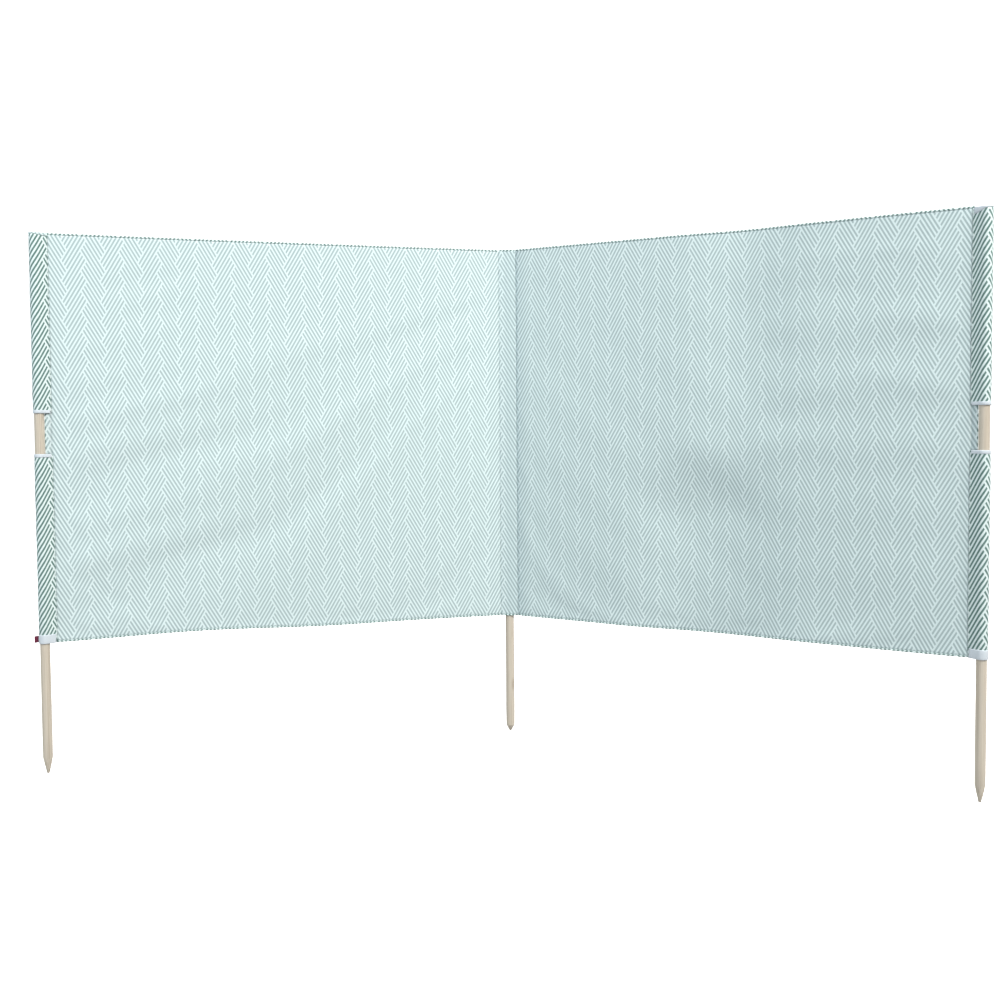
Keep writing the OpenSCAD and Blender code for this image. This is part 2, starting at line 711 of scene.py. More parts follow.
@dataclass(frozen=True)
class Planks:
    """The print: planks of three stripes laid in two slanted directions."""

    repeat: float = 0.1067
    plank: float = 0.03406
    start_run: float = 0.0242
    start_height: float = 0.0
    edge: float = 14.0
    margin: float = 0.083

    def ink(self, along: Shade, up: Shade) -> Shade:
        """Where the print has ink.

        Args:
            along: place along the cloth.
            up: place up the cloth.

        Returns:
            1 on a stripe and 0 between stripes.
        """
        length = self.repeat / self.plank
        x = (along - self.start_run) / self.plank
        z = (up - self.start_height) / (self.plank * math.sqrt(3))
        first, second = x + z, x - z
        shift = ((first + second) / (2 * length)).floor() * length
        first, second = first - shift, second - shift
        rising_run = first + second.floor()
        rising = (rising_run >= 0.0) * (rising_run < length)
        later = first - length
        falling_run = second + later.floor()
        falling = (falling_run >= 0.0) * (falling_run < length)
        other = 1 - falling
        falling_across = falling * later.fraction() + other * first.fraction()
        falling_along = falling * falling_run + other * (second + first.floor() + length)
        not_rising = 1 - rising
        across = rising * second.fraction() + not_rising * falling_across
        run = rising * rising_run + not_rising * falling_along
        stripe = ((0.25 - abs((across * 3).fraction() - 0.5)) * self.edge + 0.5).clamped()
        soft_end = 3 * self.edge
        ends = ((run - self.margin) * soft_end + 0.5).clamped() * (
            ((length - self.margin) - run) * soft_end + 0.5
        ).clamped()
        return stripe * ends


@dataclass(frozen=True)
class PrintedCotton:
    """Printed cotton, seen on one of its faces."""

    name: str
    face: Face
    ground: Colour
    ink: Colour
    shadow: Colour
    roughness: float = 0.86
    thread: float = 0.0011
    # Below 1, a soft upright strip over and just right of the middle post is darkened by this
    # share: painted shade of the post through the thin cloth.
    painted_post_shade: float = 1.0
    planks: Planks = field(default_factory=Planks)

    def material(self) -> bpy.types.Material:
        """Builds the face's material: print, weave, slubs, uneven dye and painted shade by the
        middle post.

        Returns:
            The material.
        """
        shader = Shader(self.name)
        along, up = shader.cloth_place()
        place = shader.flat_place(along, up)
        cloud = shader.noise(place, (6, 6, 6), detail=4)
        slub = shader.noise(place, (38, 900, 1), detail=2)
        slub_up = shader.noise(place, (900, 38, 1), detail=2)
        threads = (slub + slub_up) * 0.5
        wear = shader.noise(place, (190, 190, 190), detail=2)
        ink = self.planks.ink(along, up)
        cover = (ink * (0.80 + 0.34 * wear)).clamped()
        ground = shader.mix((cloud - 0.35) * 0.7, self.ground, self.shadow)
        colour = shader.mix(cover, ground, self.ink)
        tone = shader.grey(0.90 + 0.20 * threads)
        colour = shader.mix(1.0, colour, tone, "MULTIPLY")
        # Painted shade: the cloth is darkened in a soft upright strip over and just right of the
        # middle post, standing in for the post's shade through the thin cloth; behind is that
        # strip's mask.
        if self.painted_post_shade < 1:
            behind = ((along + 0.010) * 80).clamped() * ((0.070 - along) * 30).clamped()
            painted_post_shade_colour = (self.painted_post_shade * 0.97, self.painted_post_shade * 0.99, self.painted_post_shade)
            shade = shader.mix(behind, (1.0, 1.0, 1.0), painted_post_shade_colour)
            colour = shader.mix(1.0, colour, shade, "MULTIPLY")
        count = math.pi / self.thread
        weft = (along * count).sine() * (up * count).sine()
        height = weft * 0.32 + 0.5 + (threads - 0.5) * 0.8
        shader.bump(height, 0.35, 0.00025)
        shader.set(
            Base_Color=colour,
            Roughness=self.roughness + 0.08 * (threads - 0.5) + 0.03 * ink,
            Sheen_Weight=0.12,
            Sheen_Roughness=0.5,
            Specular_IOR_Level=0.22,
        )
        return shader.material


@dataclass(frozen=True)
class TwillTape:
    """Woven cotton tape with slanted ribs."""

    name: str
    colour: Colour
    shadow: Colour
    rib: float = 0.0030
    roughness: float = 0.8

    def material(self) -> bpy.types.Material:
        """Builds the tape's material.

        Returns:
            The material.
        """
        shader = Shader(self.name)
        along, up = shader.cloth_place()
        place = shader.flat_place(along, up)
        rib = ((along + up * 1.4) * (2 * math.pi / self.rib)).sine() * 0.5 + 0.5
        cross = (up * (2 * math.pi / (self.rib * 0.6))).sine() * 0.5 + 0.5
        uneven = shader.noise(place, (60, 60, 60), detail=3)
        base = shader.mix(uneven, self.shadow, self.colour)
        shader.set(
            Base_Color=shader.mix(rib * 0.45, base, self.shadow),
            Roughness=self.roughness + 0.1 * uneven,
            Sheen_Weight=0.15,
            Specular_IOR_Level=0.25,
        )
        shader.bump(rib * 0.7 + cross * 0.3, 0.35, 0.00025)
        return shader.material


@dataclass(frozen=True)
class BarePine:
    """Bare turned pine with its grain upright."""

    pale: Colour
    warm: Colour
    dark: Colour

    def material(self) -> bpy.types.Material:
        """Builds the wood's material: rings, fibres, pores and a few knots.

        Returns:
            The material.
        """
        shader = Shader("bare_pine")
        place = shader.object_place()
        rings = shader.noise(place, (230, 230, 1.4), detail=2, distortion=0.3)
        fibre = shader.noise(place, (650, 650, 9), detail=4, roughness=0.65)
        pores = shader.noise(place, (1500, 1500, 40), detail=2)
        blotch = shader.noise(place, (14, 14, 3.5), detail=3)
        colour = shader.ramp(
            rings,
            [(0.26, self.dark), (0.42, self.warm), (0.60, self.pale), (0.80, self.warm)],
        )
        colour = shader.mix(0.5 * blotch, colour, self.pale)
        colour = shader.mix(1.0, colour, shader.grey(0.80 + 0.4 * fibre), "MULTIPLY")
        cells = shader.add(
            "ShaderNodeTexVoronoi",
            {"feature": "F1"},
            {
                "Vector": shader.add(
                    "ShaderNodeMapping", {}, {"Vector": place, "Scale": (26.0, 26.0, 7.0)}
                ).outputs[0],
                "Scale": 1.0,
            },
        )
        knot = ((0.20 - Shade(shader, cells.outputs["Distance"])) * 9).clamped()
        colour = shader.mix(knot * 0.55, colour, self.dark)
        shader.set(
            Base_Color=colour,
            Roughness=0.58 + 0.22 * fibre,
            Specular_IOR_Level=0.3,
        )
        shader.bump(fibre * 0.6 + pores * 0.25 + rings * 0.4, 0.35, 0.0004)
        return shader.material


@dataclass(frozen=True)
class SewingThread:
    """Twisted sewing thread."""

    name: str
    colour: Colour
    shadow: Colour

    def material(self) -> bpy.types.Material:
        """Builds the thread's material.

        Returns:
            The material.
        """
        shader = Shader(self.name)
        twist = shader.noise(shader.object_place(), (1800, 1800, 1800), detail=1)
        shader.set(
            Base_Color=shader.mix(twist, self.shadow, self.colour),
            Roughness=0.6 + 0.2 * twist,
            Sheen_Weight=0.1,
        )
        return shader.material


class Wardrobe:
    """All the finishes, each made once."""

    def __init__(self) -> None:
        """Makes every material."""
        self.reverse = PrintedCotton(
            "cotton_reverse",
            Face.REVERSE,
            (0.68, 0.79, 0.785),
            (0.36, 0.458, 0.462),
            (0.635, 0.745, 0.75),
            # Painted shade: this face is 9% darker in a soft strip by the middle post.
            painted_post_shade=0.91,
        ).material()
        self.printed = PrintedCotton(
            "cotton_printed",
            Face.PRINTED,
            (0.70, 0.80, 0.785),
            (0.098, 0.185, 0.165),
            (0.655, 0.76, 0.75),
        ).material()
        self.tape = TwillTape("cotton_tape", (0.74, 0.78, 0.82), (0.53, 0.59, 0.63)).material()
        self.tag = TwillTape(
            "satin_tag", (0.16, 0.012, 0.045), (0.07, 0.006, 0.02), rib=0.0009, roughness=0.42
        ).material()
        self.pine = BarePine(
            (0.60, 0.535, 0.44), (0.51, 0.44, 0.345), (0.355, 0.29, 0.215)
        ).material()
        self.thread = SewingThread(
            "pale_thread", (0.74, 0.84, 0.82), (0.52, 0.62, 0.60)
        ).material()


def dress(piece: bpy.types.Object, *materials: bpy.types.Material) -> None:
    """Gives a piece its materials, in the order of its slots.

    Args:
        piece: the piece.
        materials: the materials.
    """
    piece.data.materials.clear()
    for material in materials:
        piece.data.materials.append(material)


def hand_over(
    piece: bpy.types.Object, body: str, slot: str, *nodes: str
) -> bpy.types.Object:
    """Lets a finished piece ride, and hides the nodes that it stands for.

    Args:
        piece: the finished piece.
        body: the body that it rides on.
        slot: the record's material slot that its finish is for; not used.
        nodes: the nodes that it stands for.

    Returns:
        The same piece.
    """
    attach(piece, body)
    if nodes:
        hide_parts(*nodes)
    log.info("%s rides on %s, %d faces", piece.name, body, len(piece.data.polygons))
    return piece


def folded_tape(radius: float, tall: float) -> list[tuple[float, float]]:
    """The section of a tape that is folded over the end of a sleeve.

    Args:
        radius: the sleeve's radius.
        tall: the tape's height outside the sleeve.

    Returns:
        From inside to outside, its radius and its distance from the fold.
    """
    inner, outer = radius - 0.0007, radius + 0.0012
    return [
        (inner, min(tall, TAPE_TURN) * 0.8),
        (inner, 0.0012),
        (inner + 0.0004, 0.0002),
        ((inner + outer) / 2, -0.0002),
        (outer - 0.0002, 0.0003),
        (outer, 0.0014),
        (outer, tall * 0.5),
        (outer - 0.0001, tall * 0.9),
        (outer - 0.0003, tall),
    ]


def tape_cloth(run: np.ndarray, edge: Sequence[tuple[float, float]]) -> np.ndarray:
    """The places on a flat tape, along it and across its folded section."""
    across = np.r_[0, np.cumsum(np.hypot(*np.diff(np.array(edge), axis=0).T))]
    return np.stack(np.broadcast_arrays(run[None, :], across[:, None]), -1)


# ---- Stitches ---------------------------------------------------------------


@dataclass
class Stitching:
    """Rows of sewing stitches, one small stitch repeated."""

    wardrobe: Wardrobe
    pitch: float = 0.0045
    length: float = 0.0031
    radius: float = 0.00028

    def _stitch(self) -> bpy.types.Object:
        """Models one stitch along +X, bowed up in its middle.

        Returns:
            The stitch.
        """
        deselect_all()
        bpy.ops.mesh.primitive_cylinder_add(
            vertices=6,
            radius=self.radius,
            depth=self.length * 0.6,
            rotation=(0, math.pi / 2, 0),
            end_fill_type="NGON",
        )
        stitch = bpy.context.object
        set_place(stitch)
        for end in (-1, 1):
            select_where(stitch, "FACE", lambda face, end=end: face.normal.x * end > 0.9)
            edit(
                stitch,
                lambda end=end: bpy.ops.mesh.extrude_region_move(
                    TRANSFORM_OT_translate={
                        "value": (end * self.length * 0.2, 0, -self.radius * 1.2)
                    }
                ),
                lambda: bpy.ops.transform.resize(value=(1, 0.45, 0.45)),
                select=False,
            )
        return stitch

    def row(
        self, name: str, start: float, end: float, place: Callable[[np.ndarray], np.ndarray]
    ) -> bpy.types.Object:
        """Makes one row of stitches.

        Args:
            name: the row's name.
            start: where the row starts along its line.
            end: where it ends.
            place: turns points with x along the line, y across it and z out of
                the cloth into points of the frame.

        Returns:
            The row as one piece.
        """
        count = max(1, int((end - start) / self.pitch))
        row = self._stitch()
        row.name = row.data.name = name
        if count > 1:
            apply_modifier(
                row,
                "ARRAY",
                count=count,
                use_relative_offset=False,
                use_constant_offset=True,
                constant_offset_displace=(self.pitch, 0, 0),
            )
        points = vertex_array(row)
        points[:, 0] += start + (end - start - (count - 1) * self.pitch) / 2
        move_vertices(row, place(points))
        edit(row, lambda: bpy.ops.mesh.normals_make_consistent(inside=False))
        smooth(row)
        dress(row, self.wardrobe.thread)
        return row

    def join(self, name: str, rows: Sequence[bpy.types.Object]) -> bpy.types.Object:
        """Joins rows of stitches into one piece.

        Args:
            name: the piece's name.
            rows: the rows.

        Returns:
            The joined piece.
        """
        deselect_all()
        for row in rows:
            row.select_set(True)
        bpy.context.view_layer.objects.active = rows[0]
        bpy.ops.object.join()
        rows[0].name = rows[0].data.name = name
        return rows[0]


# ---- Posts ------------------------------------------------------------------


@dataclass
class Post:
    """A turned round post with a pointed foot."""

    layout: Layout
    wardrobe: Wardrobe
    name: str
    body: str
    node: str
    point: float
    tip: float
    sides: int = 64
    rings: int = 26

    def build(self) -> bpy.types.Object:
        """Turns the post, points it and lets it ride.

        Returns:
            The finished piece.
        """
        low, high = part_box(self.node)
        centre = ((low.x + high.x) / 2, (low.y + high.y) / 2)
        radius = (high.x - low.x) / 2
        shoulder = low.z + self.point
        deselect_all()
        bpy.ops.mesh.primitive_cylinder_add(
            vertices=self.sides,
            radius=radius,
            depth=high.z - shoulder,
            location=(*centre, (high.z + shoulder) / 2),
            end_fill_type="NGON",
        )
        post = bpy.context.object
        post.name = post.data.name = self.name
        set_place(post)
        select_where(post, "FACE", lambda face: face.normal.z < -0.9)
        share = self.tip / 2 / radius
        belly = 0.49 + 0.5 * share
        edit(
            post,
            lambda: bpy.ops.mesh.extrude_region_move(
                TRANSFORM_OT_translate={"value": (0, 0, -self.point * 0.55)}
            ),
            lambda: bpy.ops.transform.resize(
                value=(belly, belly, 1),
                center_override=(*centre, shoulder - self.point * 0.55),
            ),
            lambda: bpy.ops.mesh.extrude_region_move(
                TRANSFORM_OT_translate={"value": (0, 0, -self.point * 0.45)}
            ),
            lambda: bpy.ops.transform.resize(
                value=(share / belly, share / belly, 1),
                center_override=(*centre, low.z),
            ),
            select=False,
        )
        for z in np.linspace(shoulder, high.z, self.rings)[1:-1]:
            edit(
                post,
                lambda z=float(z): bpy.ops.mesh.bisect(
                    plane_co=(0, 0, z), plane_no=(0, 0, 1)
                ),
            )
        points = vertex_array(post)
        around = points[:, :2] - centre
        up = points[:, 2]
        body = smooth_step(up, shoulder, shoulder + 0.05)
        angle = np.arctan2(around[:, 1], around[:, 0])
        uneven = 0.00022 * soft_noise(up / 0.35, np.sin(angle) * 0.3, 5)
        slimmer = 1 - (0.006 + uneven / radius) * body
        points[:, :2] = np.array(centre) + around * slimmer[:, None]
        move_vertices(post, points)
        apply_modifier(
            post,
            "BEVEL",
            width=0.0011,
            segments=3,
            limit_method="ANGLE",
            angle_limit=math.radians(25),
        )
        pick(post)
        bpy.ops.object.shade_smooth_by_angle(angle=math.radians(35))
        dress(post, self.wardrobe.pine)
        return hand_over(post, self.body, "wood", self.node)


# ---- Cloth of a bay ---------------------------------------------------------


@dataclass
class LoopPath:
    """The way of the cloth round an end post, from the seam and back to it."""

    radius: float
    reach: float
    gap: float
    steps: int = 72

    def points(self) -> tuple[np.ndarray, np.ndarray, np.ndarray]:
        """Works out the loop.

        Returns:
            Its points, its outward directions and the length run at each point,
            with the seam on +X, from behind round the far side to the front.
        """
        reach, gap = self.reach, self.gap
        away = math.hypot(reach, gap)
        lean = math.acos(self.radius / away)
        seam_angle = math.atan2(gap, reach)
        start, end = -(seam_angle + lean), seam_angle + lean
        arc = np.linspace(start, end - 2 * math.pi, self.steps)
        curve = self.radius * np.stack([np.cos(arc), np.sin(arc)], -1)
        straight = np.linspace(0, 1, 9)[:-1, None]
        first = (1 - straight) * np.array([reach, -gap]) + straight * curve[0]
        last = curve[-1] + (1 - straight[::-1]) * (np.array([reach, gap]) - curve[-1])
        points = np.concatenate([first, curve, last])
        ahead = np.gradient(points, axis=0)
        ahead /= np.linalg.norm(ahead, axis=1, keepdims=True)
        outward = np.stack([-ahead[:, 1], ahead[:, 0]], -1)
        if (outward * points).sum() < 0:
            outward = -outward
        run = run_along(points)
        return points, outward, run


@dataclass
class Folds:
    """The soft folds and slack edges of one bay."""

    layout: Layout
    side: Side
    broad_depth: float = 0.002
    fan_top: float = 1.10
    fan_slope: float = 0.43
    fan_depth: float = 0.0155
    fan_ripple: float = 0.0045
    fine_depth: float = 0.0009
    fine_pitch: float = 0.105
    crease_depth: float = 0.0013
    crease_pitch: float = 0.175
    ripple_depth: float = 0.0005
    ripple_pitch: float = 0.20
    sag_depth: float = 0.019
    ridge_depth: float = 0.013
    hollow_depth: float = 0.023
    hem_wave: tuple[float, float] = (0.0038, 0.0016)

    def _edge_fade(self, run: np.ndarray, height: np.ndarray) -> np.ndarray:
        """0 at the four edges of the bay and 1 inside it.

        Args:
            run: distance from the middle post's axis.
            height: height above the bottom edge of the cloth.

        Returns:
            The share at each point.
        """
        layout = self.layout
        ends = smooth_step(run, layout.fold_reach, layout.fold_reach + 0.10) * (
            1 - smooth_step(run, layout.seam - 0.09, layout.seam)
        )
        hems = smooth_step(height, 0.0, 0.08) * (
            1 - smooth_step(height, layout.height - 0.07, layout.height)
        )
        return ends * hems

    def out(self, run: np.ndarray, height: np.ndarray) -> np.ndarray:
        """How far the cloth stands out of the bay's plane.

        Args:
            run: distance from the middle post's axis.
            height: height above the bottom edge of the cloth.

        Returns:
            The distance, towards the hollow side.
        """
        fade = self._edge_fade(run, height)
        broad = self.broad_depth * soft_noise(run / 0.9, height / 0.8, 13)
        if self.side is Side.LEFT:
            return fade * (self._fan(run, height) + broad)
        return fade * (self._creases(run, height) + broad) + self._hollow(run, height)

    def _fan(self, run: np.ndarray, height: np.ndarray) -> np.ndarray:
        """The left bay's folds, which fan out from the top of the middle post.

        Args:
            run: distance from the middle post's axis.
            height: height above the bottom edge of the cloth.

        Returns:
            The folds' distance out of the plane.
        """
        spread = 0.08 + 0.10 * smooth_step(run, 0.1, 0.85)
        warp = 0.012 * soft_noise(run / 0.45, height / 0.45, 11)
        step = (self.fan_top - self.fan_slope * run + warp - height) / spread
        share = smooth_step(step, -1.2, 0.2) * (1 - 0.8 * smooth_step(step, 3.2, 4.2))
        folds = -self.fan_depth * spread * share * np.sin(math.pi * step)
        ripple = np.sin(math.pi * (2.3 * step + 0.4 + 1.6 * run))
        folds += self.fan_ripple * spread * share * ripple
        wave = 2 * math.pi * (height + 0.22 * run) / self.fine_pitch + 1.1
        fine = self.fine_depth * np.sin(wave)
        fine *= smooth_step(run, 0.6, 1.2) * (0.7 + 0.3 * soft_noise(run / 0.3, height / 0.2, 12))
        return folds + fine

    def _creases(self, run: np.ndarray, height: np.ndarray) -> np.ndarray:
        """The right bay's level creases and slanting ripples.

        Args:
            run: distance from the middle post's axis.
            height: height above the bottom edge of the cloth.

        Returns:
            The creases' distance out of the plane.
        """
        outer = smooth_step(run, 0.76, 0.90)
        bend = 0.014 * soft_noise(run / 0.35, height / 0.30, 21)
        share = 0.35 + 0.65 * smooth_step(height, 0.35, 0.6)
        wave = 2 * math.pi * (height + bend - 1.05) / self.crease_pitch
        creases = self.crease_depth * share * np.sin(wave)
        creases *= 0.8 + 0.7 * soft_noise(run / 0.30, height / 0.20, 22)
        wave = 2 * math.pi * (height + 0.75 * run) / self.ripple_pitch
        ripples = self.ripple_depth * np.sin(wave)
        return outer * creases + (1 - outer) * ripples

    def _hollow(self, run: np.ndarray, height: np.ndarray) -> np.ndarray:
        """The right bay's backward sag, upright ridge and deep hollow below its middle.

        Args:
            run: distance from the middle post's axis.
            height: height above the bottom edge of the cloth.

        Returns:
            The distance, which is backward.
        """
        sag = smooth_step(run, 0.04, 0.78) * (1 - smooth_step(run, 0.78, 1.38))
        sag *= 1 - 0.3 * smooth_step(height, 0.6, self.layout.height)
        ridge = smooth_step(run, 0.58, 0.78) * (1 - smooth_step(run, 0.785, 1.0))
        ridge *= smooth_step(height, 0.35, 0.95)
        hollow = smooth_step(run, 0.38, 0.64) * (1 - smooth_step(run, 0.68, 0.98))
        hollow *= 1 - smooth_step(height, 0.34, 0.58)
        return -(self.sag_depth * sag + self.ridge_depth * ridge + self.hollow_depth * hollow)

    def edge_out(self, run: np.ndarray, top: bool) -> np.ndarray:
        """How far a hem waves out of the bay's plane.

        Args:
            run: distance from the middle post's axis.
            top: whether it is the top edge and not the bottom one.

        Returns:
            The distance at each place.
        """
        layout = self.layout
        share = smooth_step(run, layout.fold_reach, layout.fold_reach + 0.15) * (
            1 - smooth_step(run, layout.seam - 0.15, layout.seam)
        )
        seed = 31 if top else 37
        return share * self.hem_wave[top] * soft_noise(run / 0.55, np.full_like(run, 0.3), seed)

    def lift(self, run: np.ndarray, height: np.ndarray) -> np.ndarray:
        """How far a point of the cloth lies above where it would lie if flat.

        Args:
            run: distance from the middle post's axis.
            height: height above the bottom edge of the cloth.

        Returns:
            The height to add at each point.
        """
        layout = self.layout
        low = 1 - smooth_step(height, 0.0, 0.55 * layout.height)
        t = np.clip((run - layout.fold_reach) / (layout.seam - layout.fold_reach), 0, 1)
        middle = t * (1 - t) * 4
        if self.side is Side.LEFT:
            rise = 0.0085 * np.sin(math.pi * smooth_step(t, 0.35, 1.0))
            bottom = rise + 0.0015 * np.sin(9 * t) * middle
        else:
            rise = -0.0045 * np.sin(math.pi * t)
            bottom = rise + 0.0012 * np.sin(11 * t) * middle
        top = smooth_step(height, 0.8 * layout.height, layout.height)
        sag = -0.0012 * np.sin(math.pi * t)
        return low * bottom + top * sag

    def surface(self, run: np.ndarray, height: np.ndarray) -> np.ndarray:
        """The cloth's points in the frame before it settles.

        Args:
            run: distance from the middle post's axis.
            height: height above the bottom edge of the cloth.

        Returns:
            The points.
        """
        layout = self.layout
        run, height = np.broadcast_arrays(
            np.asarray(run, float), np.asarray(height, float)
        )
        low = 1 - smooth_step(height, 0.0, 0.25)
        high = smooth_step(height, layout.height - 0.2, layout.height)
        out = (
            self.out(run, height)
            + low * self.edge_out(run, False)
            + high * self.edge_out(run, True)
        )
        z = layout.cloth_bottom + height + self.lift(run, height)
        return BayPlane(layout, self.side).at(run, out, z)


@dataclass
class Bay:
    """One bay of cloth with its hems, its sleeve round the end post and its trim."""

    layout: Layout
    wardrobe: Wardrobe
    side: Side
    thickness: float = 0.0012
    columns: int = 138
    rows: int = 120
    hem_height: float = 0.005
    hem_half: float = 0.0018
    loop_radius: float = 0.0153
    seam_gap: float = 0.0012
    wrinkle: float = 0.0011
    notch_lap: float = 0.0083
    sleeve_lap: float = 0.0045
    stitch_lift: float = 0.00008
    settle_frames: int = 14
    settle_cap: float = 0.0006

    def __post_init__(self) -> None:
        """Sets up the bay's directions and folds."""
        self.plane = BayPlane(self.layout, self.side)
        self.folds = Folds(self.layout, self.side)
        self.name = self.side.value
        self.loop_length = 0.0

    @property
    def _closure_drop(self) -> float:
        """How far the right sleeve's end lies below the top of the cloth."""
        return 0.004 if self.side is Side.RIGHT else 0.001

    def _post_frame(self, points: np.ndarray, z: np.ndarray) -> np.ndarray:
        """Turns points round the end post, with its seam on +X, into the frame."""
        return self.plane.at(self.layout.bay - points[..., 0], points[..., 1], z)

    def _settle(self, sheet: bpy.types.Object) -> None:
        """Lets the panel settle under its own weight between its pinned edges.

        Args:
            sheet: the sheet.
        """
        layout = self.layout
        start = vertex_array(sheet)
        run = start @ self.plane.along
        height = start[:, 2] - layout.cloth_bottom
        pinned = (
            (run < layout.fold_reach + 0.001)
            | (run > layout.seam - 0.001)
            | (height < 0.016)
            | (height > layout.height - 0.012)
        )
        group = sheet.vertex_groups.new(name="pinned")
        group.add(np.flatnonzero(pinned).tolist(), 1.0, "REPLACE")
        pick(sheet)
        modifier = sheet.modifiers.new("Settle", "CLOTH")
        settings = modifier.settings
        settings.quality = 6
        settings.mass = 0.12
        settings.tension_stiffness = settings.compression_stiffness = 18
        settings.shear_stiffness = 9
        settings.bending_stiffness = 0.35
        settings.tension_damping = settings.compression_damping = 12
        settings.air_damping = 4
        settings.vertex_group_mass = "pinned"
        settings.effector_weights.gravity = 1.0
        modifier.collision_settings.use_collision = False
        modifier.point_cache.frame_start = 1
        modifier.point_cache.frame_end = self.settle_frames
        scene = bpy.context.scene
        for number in range(1, self.settle_frames + 1):
            scene.frame_set(number)
        pick(sheet)
        bpy.ops.object.modifier_apply(modifier=modifier.name)
        scene.frame_set(1)
        moved = vertex_array(sheet) - start
        far = np.linalg.norm(moved, axis=1, keepdims=True)
        kept = np.minimum(1, self.settle_cap / np.maximum(far, 1e-9))
        move_vertices(sheet, start + moved * kept)
        sheet.vertex_groups.clear()
        log.info("%s settled by up to %.4f m", sheet.name, float(far.max()))

    def _panel(self) -> bpy.types.Object:
        """Makes the panel between the fold and the sleeve's seam.

        Returns:
            The panel.
        """
        layout = self.layout
        run = np.linspace(layout.fold_reach, layout.seam, self.columns + 1)[None, :]
        height = np.linspace(0.0008, layout.height - 0.0008, self.rows + 1)[:, None]
        points = self.folds.surface(run, height)
        cloth = np.stack(np.broadcast_arrays(self.plane.cloth_run(run), height), -1)
        outward = np.broadcast_to(self.plane.front, points.shape)
        sheet = grid_sheet(f"cloth_{self.name}", points, cloth, outward)
        self._settle(sheet)
        dress(sheet, self.wardrobe.reverse, self.wardrobe.printed)
        thicken(sheet, self.thickness)
        return hand_over(sheet, self.side.body, "panel_cloth", f"panel_{self.name}")

    def _hem(self, top: bool) -> bpy.types.Object:
        """Makes the rolled hem along the top or the bottom edge.

        Args:
            top: whether it is the top edge and not the bottom one.

        Returns:
            The hem.
        """
        layout = self.layout
        edge = layout.height if top else 0.0
        run = np.linspace(layout.fold_reach + 0.0025, layout.seam, 190)
        path = self.folds.surface(run, np.full_like(run, edge))
        turn = 1.0 if top else -1.0
        half, tall = self.hem_half, self.hem_height
        pucker = 1 + 0.10 * soft_noise(run / 0.022, run * 0 + 0.5, 41 if top else 43)
        section = [
            (-0.75 * half, -tall),
            (-half, -0.7 * tall),
            (-half, -0.3 * tall),
            (-0.6 * half, -0.06 * tall),
            (0.0, 0.0),
            (0.6 * half, -0.06 * tall),
            (half, -0.3 * tall),
            (half, -0.7 * tall),
            (0.75 * half, -tall),
        ]
        up = np.tile([0.0, 0.0, turn], (len(run), 1))
        out = pucker[:, None] * self.plane.front[None, :]
        where = "top" if top else "bottom"
        hem = rolled_strip(
            f"hem_{where}_{self.name}",
            path,
            out,
            up,
            section,
            self.plane.cloth_run(run),
            layout.height if top else 0.0,
        )
        smooth(hem)
        dress(hem, self.wardrobe.printed)
        return hand_over(hem, self.side.body, "panel_cloth", f"{where}_hem_{self.name}")

    def _notch_hem(self) -> bpy.types.Object:
        """Makes the narrow hem at the inner edge of the notch.

        Returns:
            The hem.
        """
        layout = self.layout
        z = np.linspace(layout.notch_bottom, layout.notch_top, 26)
        wide = layout.notch_edge - layout.seam + self.notch_lap
        wave = 0.0004 * soft_noise(z / 0.04, z * 0, 51)
        path = self.plane.at(layout.notch_edge + self.notch_lap + wave, z * 0, z)
        half = 0.0015
        roll = 0.0028
        section = [
            (-half * 0.5, wide + 0.0012),
            (-half * 0.6, roll * 1.3),
            (-half, roll),
            (-half, roll * 0.4),
            (-0.5 * half, 0.0),
            (0.5 * half, 0.0),
            (half, roll * 0.4),
            (half, roll),
            (half * 0.6, roll * 1.3),
            (half * 0.5, wide + 0.0012),
        ]
        out = np.tile(self.plane.front, (len(z), 1))
        inward = np.tile(-self.plane.along, (len(z), 1))
        hem = rolled_strip(
            f"notch_edge_{self.name}", path, out, inward, section, z * 0 + 0.02, 0.0
        )
        cloth = hem.data.uv_layers[CLOTH_UV].data
        front = Vector(self.plane.front)
        along = Vector(self.plane.along)
        for polygon in hem.data.polygons:
            flat = polygon.normal.dot(front) > 0.8
            beyond = layout.notch_edge + self.notch_lap - polygon.center.dot(along)
            polygon.material_index = 1 if flat and beyond > roll else 0
            for index in polygon.loop_indices:
                point = hem.data.vertices[hem.data.loops[index].vertex_index].co
                run = self.plane.cloth_run(point.dot(along))
                cloth[index].uv = (float(run), point.z - layout.cloth_bottom)
        smooth(hem)
        hem.data.materials.append(self.wardrobe.printed)
        hem.data.materials.append(self.wardrobe.reverse)
        return hand_over(hem, self.side.body, "panel_cloth", f"notch_hem_{self.name}")

